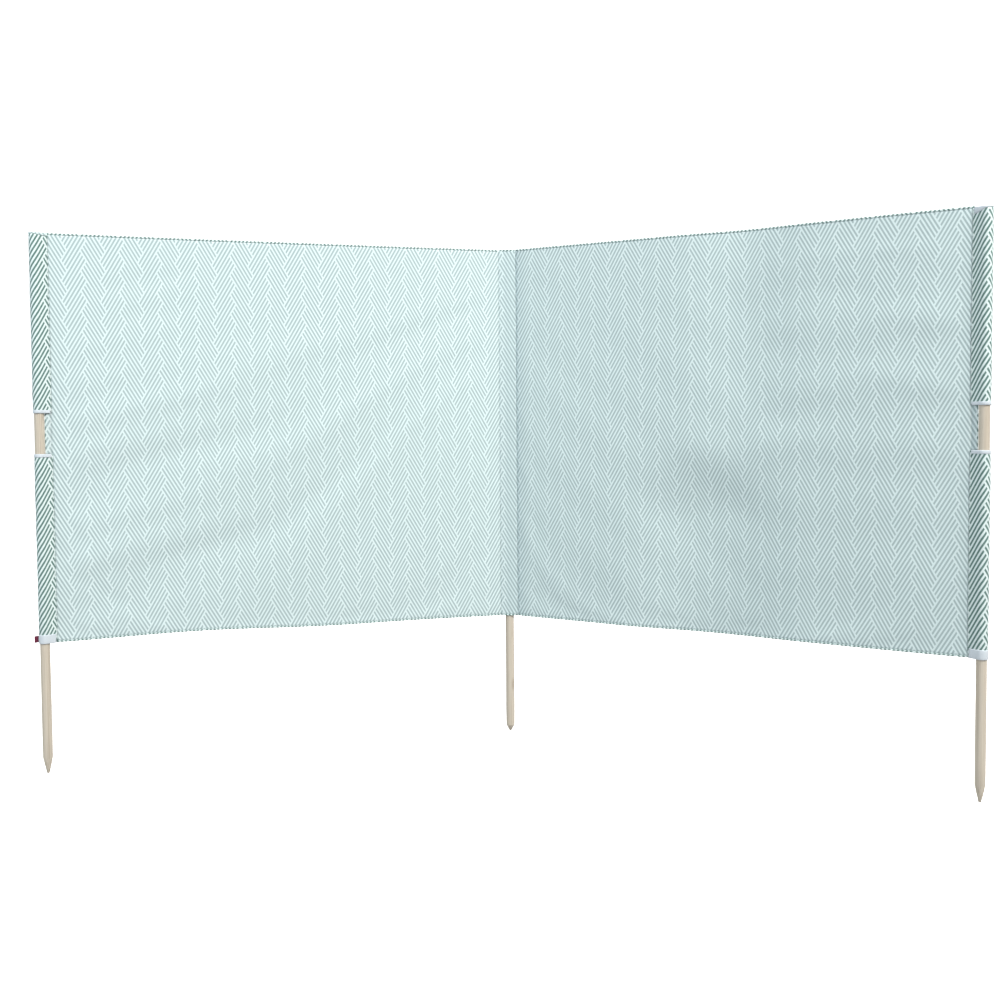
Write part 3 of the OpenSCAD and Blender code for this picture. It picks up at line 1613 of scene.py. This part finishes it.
    def _sleeve(self, upper: bool) -> bpy.types.Object:
        """Makes the sleeve above or below the notch.

        Args:
            upper: whether it is the sleeve above the notch and not the one below.

        Returns:
            The sleeve.
        """
        layout = self.layout
        if upper:
            low = layout.notch_top + 0.001
            high = layout.cloth_top - self._closure_drop - 0.0012
        else:
            low, high = layout.cloth_bottom + 0.002, layout.notch_bottom - 0.001
        loop, outward, run = LoopPath(self.loop_radius, layout.fold_reach, self.seam_gap).points()
        rows = int((high - low) / 0.009)
        z = np.linspace(low, high, rows + 1)[:, None]
        held = np.minimum(
            smooth_step(z - low, 0.008, 0.06), 1 - smooth_step(z - high, -0.05, -0.004)
        )
        seam = np.minimum(
            smooth_step(run, 0.004, 0.02), 1 - smooth_step(run, run[-1] - 0.02, run[-1] - 0.004)
        )
        seed = 61 if self.side is Side.LEFT else 67
        crease = 0.5 + 0.5 * soft_noise(run[None, :] / 0.05, z / 0.11, seed + upper)
        fine = 0.35 * soft_noise(run[None, :] / 0.02, z / 0.05, seed + 7 + upper)
        bulge = self.wrinkle * np.clip(crease + fine, 0, 1.4) * held * seam[None, :]
        flat = loop[None, :, :] + bulge[..., None] * outward[None, :, :]
        lap = flat[:, -1:] + np.array([self.sleeve_lap, 0.0004])
        flat = np.concatenate([flat, lap], axis=1)
        run = np.r_[run, run[-1] + self.sleeve_lap]
        points = self._post_frame(flat, np.broadcast_to(z, flat.shape[:2]))
        reach_run = self.plane.cloth_run(layout.seam) + self.side.sign * run
        cloth = np.stack(
            np.broadcast_arrays(reach_run[None, :], z - layout.cloth_bottom), -1
        )
        away = points - self.plane.at(layout.bay, 0.0, z)
        where = "upper" if upper else "lower"
        sheet = grid_sheet(f"sleeve_{where}_{self.name}", points, cloth, away)
        dress(sheet, self.wardrobe.printed, self.wardrobe.reverse)
        thicken(sheet, self.thickness)
        self.loop_length = float(run[-1])
        return hand_over(sheet, self.side.body, "sleeve_cloth", f"{where}_sleeve_{self.name}")

    def _binding(
        self, name: str, node: str, low: float, high: float, mouth_up: bool
    ) -> bpy.types.Object:
        """Makes a tape that binds the end of a sleeve, folded over its edge.

        Args:
            name: the tape's name.
            node: the node that it stands for.
            low: its lower edge.
            high: its upper edge.
            mouth_up: whether the sleeve's end that it binds is its upper one.

        Returns:
            The tape.
        """
        layout = self.layout
        fold, free = (high, low) if mouth_up else (low, high)
        back = 1.0 if free > fold else -1.0
        tall = abs(high - low)
        edge = folded_tape(self.loop_radius, tall)
        columns = []
        for radius, _ in edge:
            gap = self.seam_gap + (radius - self.loop_radius) + 0.0006
            path = LoopPath(radius, layout.fold_reach + 0.0015, max(gap, 0.0003))
            loop, outward, run = path.points()
            columns.append(loop)
        loops = np.stack(columns)
        z = fold + back * np.array([e[1] for e in edge])[:, None]
        ease = 0.0003 * soft_noise(run[None, :] / 0.02, z / 0.02, 71)
        points = self._post_frame(
            loops + ease[..., None] * outward[None, :, :], np.broadcast_to(z, loops.shape[:2])
        )
        cloth = tape_cloth(run, edge)
        away = points - self.plane.at(layout.bay, 0.0, z)
        away[: len(edge) // 2 - 1] *= 0
        tape = grid_sheet(name, points, cloth, away)
        dress(tape, self.wardrobe.tape)
        thicken(tape, TAPE_THICKNESS, two_faced=False)
        return hand_over(tape, self.side.body, "white_tape", node)

    def _closure(self) -> bpy.types.Object:
        """Makes the folded end that closes the top of the sleeve.

        Returns:
            The closure.
        """
        layout = self.layout
        path = LoopPath(
            self.loop_radius + 0.0004, layout.fold_reach + 0.001, self.seam_gap + 0.0004
        )
        loop, _, run = path.points()
        count = len(loop)
        share = run / run[-1]
        longer = 0.0135 if self.side is Side.RIGHT else 0.0052
        skirt = 0.0034 + longer * smooth_step(share, 0.62, 0.99)
        rows = []
        top = layout.cloth_top - self._closure_drop
        centre = np.clip(loop[:, 0], -0.004, layout.fold_reach - 0.004)
        centre_line = np.stack([centre, loop[:, 1] * 0], -1)
        profile = [(1.0, -1.0), (1.02, -0.6), (1.02, -0.25), (1.0, -0.04)]
        for width, drop in profile:
            rows.append(np.c_[centre_line + (loop - centre_line) * width, top + drop * skirt])
        crown = [(0.93, 0.0006), (0.78, 0.0010), (0.5, 0.0014), (0.22, 0.0006), (0.0, -0.0002)]
        for width, rise in crown:
            ring = centre_line + (loop - centre_line) * width
            rows.append(np.c_[ring, np.full(count, top + rise)])
        flat = np.stack(rows)
        pleat = 0.0003 * np.sin(share * 2 * math.pi * 14)[None, :]
        flat[..., 2] += pleat * np.linspace(1, 0, len(rows))[:, None]
        points = self._post_frame(flat[..., :2], flat[..., 2])
        cloth = np.stack(
            np.broadcast_arrays(run[None, :], np.linspace(0, 0.02, len(rows))[:, None]), -1
        )
        away = points - self.plane.at(layout.bay, 0.0, np.array(layout.cloth_top - 0.02))
        cap = grid_sheet(f"closure_{self.name}", points, cloth, away)
        dress(cap, self.wardrobe.tape if self.side is Side.RIGHT else self.wardrobe.reverse)
        thicken(cap, 0.0009, two_faced=False)
        return hand_over(cap, self.side.body, "sleeve_cloth", f"sleeve_top_{self.name}")

    def _stitches(self) -> bpy.types.Object:
        """Sews the hems and the sleeve's seam, on both faces.

        Returns:
            The stitches as one piece.
        """
        layout, plane, folds = self.layout, self.plane, self.folds
        sewing = Stitching(self.wardrobe)
        rows = []
        for face in (1.0, -1.0):
            for edge, inset in ((layout.height, -0.0041), (0.0, 0.0041)):

                def along_hem(
                    points: np.ndarray, face: float = face, edge: float = edge, inset: float = inset
                ) -> np.ndarray:
                    """Lays stitches along a hem.

                    Args:
                        points: x along the row, y across it, z out.
                        face: 1 on the hollow side and -1 behind.
                        edge: the edge's height.
                        inset: how far above the edge the row is.

                    Returns:
                        Points of the frame.
                    """
                    base = folds.surface(points[:, 0], np.full(len(points), edge))
                    base[:, 2] += inset + points[:, 1]
                    out = face * (self.hem_half + self.stitch_lift + points[:, 2])
                    return base + out[:, None] * plane.front

                rows.append(
                    sewing.row("row", layout.fold_reach + 0.01, layout.seam - 0.004, along_hem)
                )

            for low, high in (
                (layout.band_top, layout.notch_bottom - layout.tape_height),
                (layout.notch_top + layout.tape_height, layout.cloth_top - 0.018),
            ):

                def up_seam(points: np.ndarray, face: float = face) -> np.ndarray:
                    """Lays stitches up the sleeve's seam.

                    Args:
                        points: x along the row, y across it, z out.
                        face: 1 on the hollow side and -1 behind.

                    Returns:
                        Points of the frame.
                    """
                    out = 0.0026 if face > 0 else -0.0007
                    return plane.at(
                        layout.seam - 0.0022 + points[:, 1], out + face * points[:, 2], points[:, 0]
                    )

                rows.append(sewing.row("row", low, high, up_seam))
        stitches = sewing.join(f"stitches_{self.name}", rows)
        return hand_over(stitches, self.side.body, "sleeve_cloth")

    def build(self) -> None:
        """Builds and dresses the whole bay."""
        layout = self.layout
        panel = self._panel()
        trim = [self._hem(True), self._hem(False), self._notch_hem(), self._stitches()]
        upper, lower = self._sleeve(True), self._sleeve(False)
        name, tape = self.name, layout.tape_height
        bottom, notch_low, notch_high = layout.cloth_bottom, layout.notch_bottom, layout.notch_top
        upper_tape = self._binding(
            f"tape_upper_{name}", f"upper_tape_{name}", notch_high, notch_high + tape, False
        )
        lower_tape = self._binding(
            f"tape_lower_{name}", f"lower_tape_{name}", notch_low - tape, notch_low, True
        )
        band = self._binding(f"band_{name}", f"foot_band_{name}", bottom, layout.band_top, False)
        closure = self._closure()


@dataclass
class SideTag:
    """The small folded ribbon tag sewn in at the foot of the left sleeve."""

    layout: Layout
    wardrobe: Wardrobe
    wide: float = 0.012
    tall: float = 0.020
    half: float = 0.0006

    def build(self) -> bpy.types.Object:
        """Folds the ribbon, puts it in place and lets it ride.

        Returns:
            The finished piece.
        """
        layout = self.layout
        plane = BayPlane(layout, Side.LEFT)
        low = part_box("side_tag")[0]
        inner = layout.bay + 0.0160
        reach = np.linspace(0, 1, 12)
        bend = 0.0012 * reach**2
        front = np.c_[inner + self.wide * reach, bend + self.half * (1 - 0.3 * reach)]
        tip = [
            (inner + self.wide + 0.0004, bend[-1] + 0.0003),
            (inner + self.wide + 0.0005, bend[-1]),
            (inner + self.wide + 0.0004, bend[-1] - 0.0003),
        ]
        behind = np.c_[inner + self.wide * reach, bend - self.half * (1 - 0.3 * reach)][::-1]
        path = np.concatenate([front, tip, behind])
        z = np.linspace(low.z, low.z + self.tall, 9)[:, None]
        sag = -0.0010 * np.clip((path[:, 0] - inner) / self.wide, 0, 1) ** 2
        points = plane.at(path[None, :, 0], path[None, :, 1], z + sag[None, :])
        run = run_along(path)
        cloth = np.stack(np.broadcast_arrays(run[None, :], z), -1)
        middle = plane.at(inner + self.wide / 2, bend.mean(), low.z + self.tall / 2)
        tag = grid_sheet("ribbon_tag", points, cloth, points - middle)
        dress(tag, self.wardrobe.tag)
        thicken(tag, 0.0004, two_faced=False)
        return hand_over(tag, Side.LEFT.body, "tag_cloth", "side_tag")


# ---- Cloth of the middle ----------------------------------------------------


@dataclass
class MiddlePocket:
    """The cloth in front of the middle post and the sleeve sewn on behind it."""

    layout: Layout
    wardrobe: Wardrobe
    thickness: float = 0.0012
    radius: float = 0.0153
    bead: float = 0.00062
    sleeve_inset: float = 0.0022
    arc_steps: int = 40
    body: str = "middle_unit"

    def _path(
        self, radius: float, reach: float, behind: bool
    ) -> tuple[np.ndarray, np.ndarray, np.ndarray]:
        """The cloth's way from the left fold to the right one.

        Args:
            radius: the radius that it has round the post.
            reach: how far from the post's axis its two ends are.
            behind: whether it goes behind the post or in front of it.

        Returns:
            Its points, its outward directions and the length run at each point.
        """
        turn = self.layout.turn
        left, right = math.pi + turn, -turn
        lean = math.acos(radius / reach)
        if behind:
            start, end = left - lean, right + lean
        else:
            start, end = left + lean, 2 * math.pi + right - lean
        arc = np.linspace(start, end, self.arc_steps)
        curve = radius * np.stack([np.cos(arc), np.sin(arc)], -1)
        ends = reach * np.array([[math.cos(a), math.sin(a)] for a in (left, right)])
        straight = np.linspace(0, 1, 9)[:-1, None]
        first = ends[0] + straight * (curve[0] - ends[0])
        last = ends[1] + straight[::-1] * (curve[-1] - ends[1])
        points = np.concatenate([first, curve, last])
        ahead = np.gradient(points, axis=0)
        ahead /= np.linalg.norm(ahead, axis=1, keepdims=True)
        outward = np.stack([ahead[:, 1], -ahead[:, 0]], -1)
        if behind:
            outward = -outward
        run = run_along(points)
        return points, outward, run - run[-1] / 2

    def _wall(
        self, name: str, reach: float, behind: bool, low: float, high: float,
        wrinkle: float, seed: int,
    ) -> bpy.types.Object:
        """Makes an upright wall of cloth along the way past the post.

        Args:
            name: the piece's name.
            reach: how far from the post's axis its two ends are.
            behind: whether it goes behind the post or in front of it.
            low: its lower edge.
            high: its upper edge.
            wrinkle: how far its creases stand out.
            seed: picks its creases.

        Returns:
            The wall, one layer of faces.
        """
        path, outward, run = self._path(self.radius, reach, behind)
        z = np.linspace(low, high, max(4, int((high - low) / 0.009)) + 1)[:, None]
        ends = np.minimum(
            smooth_step(run, run[0] + 0.002, run[0] + 0.014),
            1 - smooth_step(run, run[-1] - 0.014, run[-1] - 0.002),
        )
        held = np.minimum(
            smooth_step(z - low, 0.006, 0.05), 1 - smooth_step(z - high, -0.05, -0.006)
        )
        crease = np.clip(0.5 + 0.5 * soft_noise(run[None, :] / 0.05, z / 0.12, seed), 0, 1.2)
        flat = path[None] + (wrinkle * crease * held * ends[None, :])[..., None] * outward[None]
        points = np.concatenate([flat, np.broadcast_to(z, flat.shape[:2])[..., None]], -1)
        cloth = np.stack(np.broadcast_arrays(run[None, :], z - self.layout.cloth_bottom), -1)
        away = np.concatenate(
            [np.broadcast_to(outward[None], flat.shape), np.zeros(flat.shape[:2])[..., None]], -1
        )
        return grid_sheet(name, points, cloth, away)

    def _front(self) -> bpy.types.Object:
        """Makes the cloth that passes in front of the post.

        Returns:
            The cloth.
        """
        layout = self.layout
        sheet = self._wall(
            "cloth_middle", layout.fold_reach, False,
            layout.cloth_bottom + 0.0008, layout.cloth_top - 0.0008, 0.0008, 81,
        )
        dress(sheet, self.wardrobe.reverse, self.wardrobe.printed)
        thicken(sheet, self.thickness)
        return hand_over(sheet, self.body, "panel_cloth", "middle_cloth")

    def _fold_edge(self, side: Side) -> bpy.types.Object:
        """Makes the stitched edge that a bay folds about.

        Args:
            side: the bay on that side.

        Returns:
            The edge.
        """
        layout = self.layout
        plane = BayPlane(layout, side)
        z = np.linspace(layout.cloth_bottom + 0.0055, layout.cloth_top - 0.0055, 150)
        path = plane.at(np.full_like(z, layout.fold_reach), z * 0, z)
        swell = 1 + 0.06 * np.sin(z * 2 * math.pi / 0.009)
        angles = np.linspace(0, 2 * math.pi, 11)[:-1]
        section = [(self.bead * math.cos(a), self.bead * math.sin(a)) for a in angles]
        out = swell[:, None] * plane.front[None, :]
        side_way = swell[:, None] * plane.along[None, :]
        edge = rolled_strip(
            f"fold_edge_{side.value}", path, out, side_way, section, z * 0, 0.0
        )
        cloth = edge.data.uv_layers[CLOTH_UV].data
        start = float(plane.cloth_run(layout.fold_reach))
        for polygon in edge.data.polygons:
            for index in polygon.loop_indices:
                point = edge.data.vertices[edge.data.loops[index].vertex_index].co
                cloth[index].uv = (start, point.z - layout.cloth_bottom)
        smooth(edge)
        dress(edge, self.wardrobe.reverse)
        return hand_over(edge, self.body, "panel_cloth")

    def _hem(self, top: bool) -> bpy.types.Object:
        """Makes the rolled hem past the middle post.

        Args:
            top: whether it is the top edge and not the bottom one.

        Returns:
            The hem.
        """
        layout = self.layout
        reach = layout.fold_reach - self.sleeve_inset
        path, outward, run = self._path(self.radius + 0.0002, reach, False)
        z = layout.cloth_top if top else layout.cloth_bottom
        points = np.c_[path, np.full(len(path), z)]
        half, tall = 0.0017, 0.005
        section = [
            (-0.6 * half, -tall),
            (-half * 0.6, -0.5 * tall),
            (-0.4 * half, -0.05 * tall),
            (0.2 * half, 0.0),
            (0.8 * half, -0.1 * tall),
            (half, -0.4 * tall),
            (half, -0.8 * tall),
            (0.7 * half, -tall),
        ]
        turn = 1.0 if top else -1.0
        where = "top" if top else "bottom"
        hem = rolled_strip(
            f"hem_{where}_middle",
            points,
            np.c_[outward, np.zeros(len(path))],
            np.tile([0.0, 0.0, turn], (len(path), 1)),
            section,
            run,
            layout.height if top else 0.0,
        )
        smooth(hem)
        dress(hem, self.wardrobe.printed)
        return hand_over(hem, self.body, "panel_cloth", f"{where}_hem_middle")

    def _sleeve(self, upper: bool) -> bpy.types.Object:
        """Makes the sleeve behind the post, above or below the notch.

        Args:
            upper: whether it is the sleeve above the notch and not the one below.

        Returns:
            The sleeve.
        """
        layout = self.layout
        if upper:
            low, high = layout.notch_top + 0.001, layout.cloth_top - 0.001
        else:
            low, high = layout.cloth_bottom + 0.002, layout.notch_bottom - 0.001
        where = "upper" if upper else "lower"
        sheet = self._wall(
            f"sleeve_{where}_middle", layout.fold_reach - self.sleeve_inset, True,
            low, high, 0.0010, 91 + upper,
        )
        dress(sheet, self.wardrobe.printed, self.wardrobe.reverse)
        thicken(sheet, self.thickness)
        return hand_over(sheet, self.body, "sleeve_cloth", f"{where}_sleeve_middle")

    def _tape(
        self, name: str, node: str, low: float, high: float, mouth_up: bool
    ) -> bpy.types.Object:
        """Makes a tape that binds the end of the sleeve behind the post.

        Args:
            name: the piece's name.
            node: the node that it stands for.
            low: its lower edge.
            high: its upper edge.
            mouth_up: whether the sleeve's end that it binds is its upper one.

        Returns:
            The tape.
        """
        fold = high if mouth_up else low
        back = -1.0 if mouth_up else 1.0
        tall = high - low
        edge = folded_tape(self.radius, tall)
        rows, away = [], []
        for radius, rise in edge:
            path, outward, run = self._path(radius, self.layout.fold_reach - 0.0020, True)
            rows.append(np.c_[path, np.full(len(path), fold + back * rise)])
            outside = 1.0 if radius > self.radius + 0.0005 else 0.0
            away.append(np.c_[outward, np.zeros(len(path))] * outside)
        cloth = tape_cloth(run, edge)
        tape = grid_sheet(name, np.stack(rows), cloth, np.stack(away))
        dress(tape, self.wardrobe.tape)
        thicken(tape, TAPE_THICKNESS, two_faced=False)
        return hand_over(tape, self.body, "white_tape", node)

    def _closure(self) -> bpy.types.Object:
        """Makes the folded end that closes the pocket over the post.

        Returns:
            The closure.
        """
        layout = self.layout
        low, high = layout.post_top + 0.0002, layout.cloth_top - 0.0003
        widest, reach = 0.0140, 0.0248
        front = self._path(widest, reach, False)[0]
        back = self._path(widest, reach, True)[0]
        outline = np.concatenate([front, back[::-1][1:]])
        ripple = 0.0001 * np.sin(9 * np.linspace(0, 2 * math.pi, len(outline)))
        profile = [
            (0.0138, low),
            (0.0140, (low + high) / 2),
            (0.0135, high - 0.0003),
            (0.0100, high),
            (0.005, high + 0.0002),
            (0.0, high + 0.0002),
        ]
        rows = [np.c_[outline * (r / widest), z + ripple] for r, z in profile]
        points = np.stack(rows)
        cloth = points[..., :2]
        inside = np.array([0, 0, low - 0.01])
        cap = grid_sheet("closure_middle", points, cloth, points - inside)
        edit(cap, lambda: bpy.ops.mesh.remove_doubles(threshold=1e-6))
        dress(cap, self.wardrobe.reverse)
        thicken(cap, 0.0006, two_faced=False)
        return hand_over(cap, self.body, "sleeve_cloth", "sleeve_top_middle")

    def _stitches(self) -> bpy.types.Object:
        """Sews the sleeve's two seams beside the post.

        Returns:
            The stitches as one piece.
        """
        layout = self.layout
        sewing = Stitching(self.wardrobe)
        rows = []
        for side in Side:
            plane = BayPlane(layout, side)
            for face in (1.0, -1.0):

                def up_seam(
                    points: np.ndarray, face: float = face, plane: BayPlane = plane
                ) -> np.ndarray:
                    """Lays stitches up a seam.

                    Args:
                        points: x along the row, y across it, z out.
                        face: 1 on the hollow side and -1 behind.
                        plane: the bay's directions.

                    Returns:
                        Points of the frame.
                    """
                    out = 0.0024 if face > 0 else -0.0020
                    run = layout.fold_reach - 0.0042 + points[:, 1]
                    return plane.at(run, out + face * points[:, 2], points[:, 0])

                rows.append(sewing.row("row", layout.band_top, layout.cloth_top - 0.008, up_seam))
        return hand_over(sewing.join("stitches_middle", rows), self.body, "sleeve_cloth")

    def build(self) -> None:
        """Builds and dresses the middle."""
        layout = self.layout
        front = self._front()
        trim = [self._fold_edge(side) for side in Side]
        trim += [self._hem(True), self._hem(False), self._stitches()]
        upper, lower = self._sleeve(True), self._sleeve(False)
        bottom, notch_low, notch_high = layout.cloth_bottom, layout.notch_bottom, layout.notch_top
        tape = layout.tape_height
        upper_tape = self._tape(
            "tape_upper_middle", "upper_tape_middle", notch_high, notch_high + tape, False
        )
        lower_tape = self._tape(
            "tape_lower_middle", "lower_tape_middle", notch_low - tape, notch_low, True
        )
        band = self._tape("band_middle", "foot_band_middle", bottom, layout.band_top, False)
        closure = self._closure()
        across = 2 * float(self._path(self.radius, layout.fold_reach, False)[2][-1])
        reach = layout.fold_reach - self.sleeve_inset
        around = 2 * float(self._path(self.radius, reach, True)[2][-1])


# ---- Studio -----------------------------------------------------------------


@dataclass(frozen=True)
class Lamp:
    """One large soft light."""

    name: str
    at: tuple[float, float, float]
    aim: tuple[float, float, float]
    size: float
    power: float
    colour: Colour

    def hang(self) -> None:
        """Hangs the light at its place and turns it to its aim."""
        data = bpy.data.lights.new(self.name, "AREA")
        data.shape, data.size = "DISK", self.size
        data.energy, data.color = self.power, self.colour
        lamp = bpy.data.objects.new(self.name, data)
        lamp.location = self.at
        ahead = Vector(self.aim) - Vector(self.at)
        lamp.rotation_euler = ahead.to_track_quat("-Z", "Y").to_euler()
        bpy.context.scene.collection.objects.link(lamp)


LAMPS = (
    Lamp("key", (4.4, -4.25, 7.35), (-0.4, -0.2, 0.9), 3.2, 770.0, (1.0, 0.985, 0.955)),
    Lamp("front", (0.0, -4.7, 7.2), (0.0, -0.2, 0.9), 4.0, 118.0, (0.98, 0.99, 1.0)),
    Lamp("fill", (-3.6, -3.4, 3.4), (0.5, -0.2, 0.9), 3.2, 84.0, (0.78, 0.90, 1.0)),
    Lamp("behind", (-1.2, 5.2, 4.6), (0.0, 0.0, 0.9), 4.0, 330.0, (1.0, 1.0, 1.0)),
)


@dataclass
class Studio:
    """A pale floor that curves up behind, soft light and the camera."""

    floor_half: float = 9.0
    wall_height: float = 8.0
    wall_bend: float = 2.5
    floor_glow: float = 0.66
    air_colour: Colour = (0.955, 0.98, 1.0)
    air_strength: float = 0.49
    lens: float = 39.196
    camera_at: tuple[float, float, float] = (0.3599, -3.5711, 1.0396)
    yaw: float = math.radians(6.619)
    pitch: float = math.radians(-2.576)
    roll: float = math.radians(-0.449)
    shift: tuple[float, float] = (0.0077, -0.0327)

    def _floor(self) -> None:
        """Makes the floor and the backdrop as one curved sweep."""
        deselect_all()
        bpy.ops.mesh.primitive_plane_add(size=2 * self.floor_half, location=(0, 1.0, -0.0004))
        floor = bpy.context.object
        floor.name = "studio_floor"
        set_place(floor)
        select_where(
            floor,
            "EDGE",
            lambda edge: min(floor.data.vertices[i].co.y for i in edge.vertices)
            > self.floor_half,
        )
        edit(
            floor,
            lambda: bpy.ops.mesh.extrude_region_move(
                TRANSFORM_OT_translate={"value": (0, 0, self.wall_height)}
            ),
            select=False,
        )
        apply_modifier(
            floor,
            "BEVEL",
            width=self.wall_bend,
            segments=16,
            limit_method="ANGLE",
            angle_limit=math.radians(30),
        )
        smooth(floor)
        shader = Shader("studio_white")
        cloud = shader.noise(shader.object_place(), (1.5, 1.5, 1.5))
        shader.set(
            Base_Color=shader.mix(cloud, (0.93, 0.93, 0.93), (0.96, 0.96, 0.96)),
            Roughness=0.9,
            Emission_Color=(1.0, 1.0, 1.0),
            Emission_Strength=self.floor_glow,
        )
        dress(floor, shader.material)
        floor.visible_diffuse = False

    def _world(self) -> None:
        """Fills the studio with even white light."""
        world = bpy.data.worlds.new("studio_air")
        world.use_nodes = True
        background = world.node_tree.nodes["Background"]
        background.inputs["Color"].default_value = (*self.air_colour, 1.0)
        background.inputs["Strength"].default_value = self.air_strength
        bpy.context.scene.world = world

    def _camera(self) -> None:
        """Sets up the camera."""
        data = bpy.data.cameras.new("camera")
        data.lens, data.sensor_width = self.lens, 36.0
        data.shift_x, data.shift_y = self.shift
        camera = bpy.data.objects.new("camera", data)
        bpy.context.scene.collection.objects.link(camera)
        ahead = Vector((
            -math.sin(self.yaw) * math.cos(self.pitch),
            math.cos(self.yaw) * math.cos(self.pitch),
            math.sin(self.pitch),
        ))
        level = Vector((math.cos(self.yaw), math.sin(self.yaw), 0.0))
        upright = level.cross(ahead)
        right = math.cos(self.roll) * level + math.sin(self.roll) * upright
        up = -math.sin(self.roll) * level + math.cos(self.roll) * upright
        turn = Matrix((right, up, -ahead)).transposed()
        camera.matrix_world = Matrix.Translation(self.camera_at) @ turn.to_4x4()
        bpy.context.scene.camera = camera

    def build(self) -> None:
        """Builds the whole studio."""
        self._camera()
        self._floor()
        self._world()
        for lamp in LAMPS:
            lamp.hang()
        bpy.context.scene.view_settings.view_transform = "Standard"


def main() -> None:
    """Builds the windbreak piece by piece around its frame."""
    logging.basicConfig(level=logging.INFO, format="%(message)s")
    layout = Layout.from_frame()
    wardrobe = Wardrobe()
    Studio().build()
    Post(layout, wardrobe, "post_left_turned", Side.LEFT.body, "post_left", 0.048, 0.007).build()
    Post(layout, wardrobe, "post_middle_turned", "middle_unit", "post_middle", 0.020, 0.005).build()
    Post(layout, wardrobe, "post_right_turned", Side.RIGHT.body, "post_right", 0.048, 0.007).build()
    MiddlePocket(layout, wardrobe).build()
    for side in Side:
        Bay(layout, wardrobe, side).build()
    SideTag(layout, wardrobe).build()
    deselect_all()


if __name__ == "__main__":
    main()
